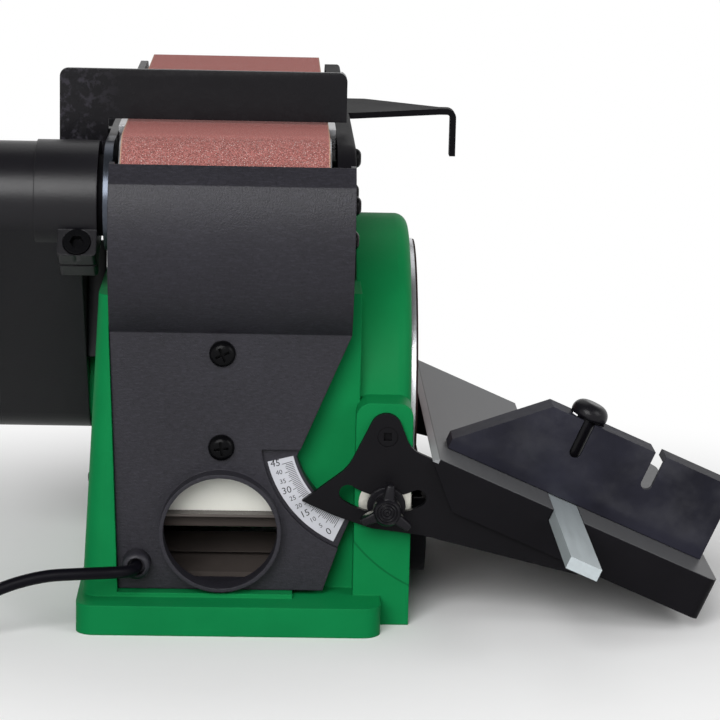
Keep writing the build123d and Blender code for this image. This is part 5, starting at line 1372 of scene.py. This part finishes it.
class SANDER_OT_tension_coil(bpy.types.Operator):
    """Spring behind the idler fork, coiled at one length; on the real sander it shortens as the lever draws
    the fork in
    """

    bl_idname = "sander.tension_coil"
    bl_label = "Tension spring"

    wire, turns, steps = 1.2, 7, 24

    def execute(self, context):
        low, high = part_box("tension_spring")
        wire, count = self.wire * MM, self.turns * self.steps
        ring = (high.x - low.x) / 2 - wire
        middle = (low + high) / 2
        length = high.y - low.y
        shape = bmesh.new()
        start = Matrix.Translation((middle.x + ring, low.y + wire, middle.z))
        circle = bmesh.ops.create_circle(shape, cap_ends=False, segments=10, radius=wire, matrix=start)
        bmesh.ops.spin(
            shape, geom=circle["verts"] + shape.edges[:], cent=middle, axis=(0, 1, 0),
            angle=2 * pi * self.turns, steps=count, dvec=(0, (length - 2 * wire) / count, 0),
        )
        bmesh.ops.holes_fill(shape, edges=[edge for edge in shape.edges if edge.is_boundary], sides=0)
        coil = piece("tension_coil", shape, "arm", SPRING_LOOK, "tension_spring", sharp=60)
        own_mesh(coil)
        return {"FINISHED"}


class SANDER_OT_dust_deflector(bpy.types.Operator):
    """Folded sheet behind the dust port, standing on the base's floor"""

    bl_idname = "sander.dust_deflector"
    bl_label = "Dust deflector"

    fold = ((-88.5, 10.0), (-88.5, 20.4), (-63.0, 25.8), (-74.0, 26.6), (-52.0, 31.4))
    left, width, thick = -38.0, 72.0, 0.6

    def execute(self, context):
        shape = bmesh.new()
        line = chain(shape, [shape.verts.new(at_mm(self.left, y, z)) for y, z in self.fold])
        drawn = bmesh.ops.extrude_edge_only(shape, edges=line)["geom"]
        bmesh.ops.translate(shape, vec=at_mm(self.width, 0, 0), verts=verts_of(drawn))
        bmesh.ops.solidify(shape, geom=shape.faces[:], thickness=self.thick * MM)
        piece("dust_deflector", shape, "base", SOOT_LOOK)
        return {"FINISHED"}


class SANDER_OT_case_rib(bpy.types.Operator):
    """Rib that ties the drive case to the base's left wall; its black also stands in for the shade seen in
    the gap there.
    """

    bl_idname = "sander.case_rib"
    bl_label = "Drive case rib"

    place, size, soft = (-65.15, -40.5, 120.0), (9.7, 3.0, 60.0), 0.8

    def execute(self, context):
        rib = bar(*self.size)
        upright = [edge for edge in rib.edges if abs(edge.verts[0].co.z - edge.verts[1].co.z) > MM]
        round_edges(rib, upright, self.soft)
        rib = gather(rib, [Matrix.Translation(at_mm(*self.place))])
        piece("drive_case_rib", rib, "base", CASE_LOOK)
        return {"FINISHED"}


class SANDER_OT_switch_marks(bpy.types.Operator):
    """I and O marks on the rocker"""

    bl_idname = "sander.switch_marks"
    bl_label = "Switch marks"

    upper_run = (-3.5, 0, 10.3)
    upper_at, lower_at = (-5.75, 0, 5.15), (-4.1, 0, -6.5)
    stroke, ring, tall = (4.2, 0.8), (1.5, 2.2), 0.06

    def execute(self, context):
        upper = Vector(self.upper_run).normalized().cross(Vector((0, 1, 0)))
        over = facing(Vector(SWITCH) + Vector(self.upper_at), upper)
        under = facing(Vector(SWITCH) + Vector(self.lower_at), LEFTWARD)
        inner, outer = self.ring
        section = [(inner, 0), (outer, 0), (outer, self.tall), (inner, self.tall), (inner, 0)]
        stroke = gather(bar(*self.stroke, self.tall), [over])
        ring = turned(section, 24)
        piece("switch_marks", merge(stroke, gather(ring, [under])), "rocker", MARK_LOOK)
        return {"FINISHED"}


class SANDER_OT_mitre_marks(bpy.types.Operator):
    """Angle marks on the mitre gauge's protractor foot"""

    bl_idname = "sander.mitre_marks"
    bl_label = "Mitre marks"

    # Centre of the protractor on the table, radius of its marks and height of its face
    out, depth, ring, height = 68.1, -73.0, 29.4, 6.3
    long_mark, mark, mark_wide, mark_tall = 5.0, 3.2, 0.35, 0.05

    def execute(self, context):
        basis = Matrix((ALONG, Vector((0, 1, 0)), UPWARD)).transposed().to_4x4()
        shapes = []
        for degree in range(-50, 51, 5):
            reach = self.long_mark if degree % 15 == 0 else self.mark
            across, back = on_circle(self.ring - reach / 2, 90 + degree)
            spot = on_table(self.out + across, self.depth + back, self.height)
            place = Matrix.Translation(spot * MM) @ basis @ spun(90 + degree)
            shapes.append(gather(bar(reach, self.mark_wide, self.mark_tall), [place]))
        piece("mitre_protractor_marks", merge(*shapes), "mitre_head", MARK_LOOK)
        return {"FINISHED"}


class SANDER_PT_pieces(bpy.types.Panel):
    """Lists the steps, sizes and colours"""

    bl_idname = "SANDER_PT_pieces"
    bl_label = "Belt and disc sander"
    bl_space_type = "VIEW_3D"
    bl_region_type = "UI"
    bl_category = "Sander"

    def draw(self, context):
        layout = self.layout
        for step in STEPS:
            layout.operator(step.bl_idname)
        for group in settings():
            box = layout.box()
            for name in group.bl_rna.properties.keys():
                if name not in ("rna_type", "name"):
                    box.prop(group, name)


STEPS = (
    SANDER_OT_stage,
    SANDER_OT_finishes,
    SANDER_OT_power_lead,
    SANDER_OT_cross_screws,
    SANDER_OT_socket_screws,
    SANDER_OT_scale_print,
    SANDER_OT_table_knobs,
    SANDER_OT_table_brackets,
    SANDER_OT_work_stop,
    SANDER_OT_pivots,
    SANDER_OT_tension_coil,
    SANDER_OT_dust_deflector,
    SANDER_OT_case_rib,
    SANDER_OT_switch_marks,
    SANDER_OT_mitre_marks,
)
CLASSES = (SanderSizes, SanderColours, *STEPS, SANDER_PT_pieces)


def register():
    for each in CLASSES:
        bpy.utils.register_class(each)
    bpy.types.Scene.sander_sizes = bpy.props.PointerProperty(type=SanderSizes)
    bpy.types.Scene.sander_colours = bpy.props.PointerProperty(type=SanderColours)


def unregister():
    del bpy.types.Scene.sander_colours
    del bpy.types.Scene.sander_sizes
    for each in reversed(CLASSES):
        bpy.utils.unregister_class(each)


def main():
    register()
    bpy.ops.sander.stage()
    bpy.ops.sander.finishes()
    bpy.ops.sander.power_lead()
    bpy.ops.sander.cross_screws()
    bpy.ops.sander.socket_screws()
    bpy.ops.sander.scale_print()
    bpy.ops.sander.table_knobs()
    bpy.ops.sander.table_brackets()
    bpy.ops.sander.work_stop()
    bpy.ops.sander.pivots()
    bpy.ops.sander.tension_coil()
    bpy.ops.sander.dust_deflector()
    bpy.ops.sander.case_rib()
    bpy.ops.sander.switch_marks()
    bpy.ops.sander.mitre_marks()


if __name__ == "__main__":
    main()
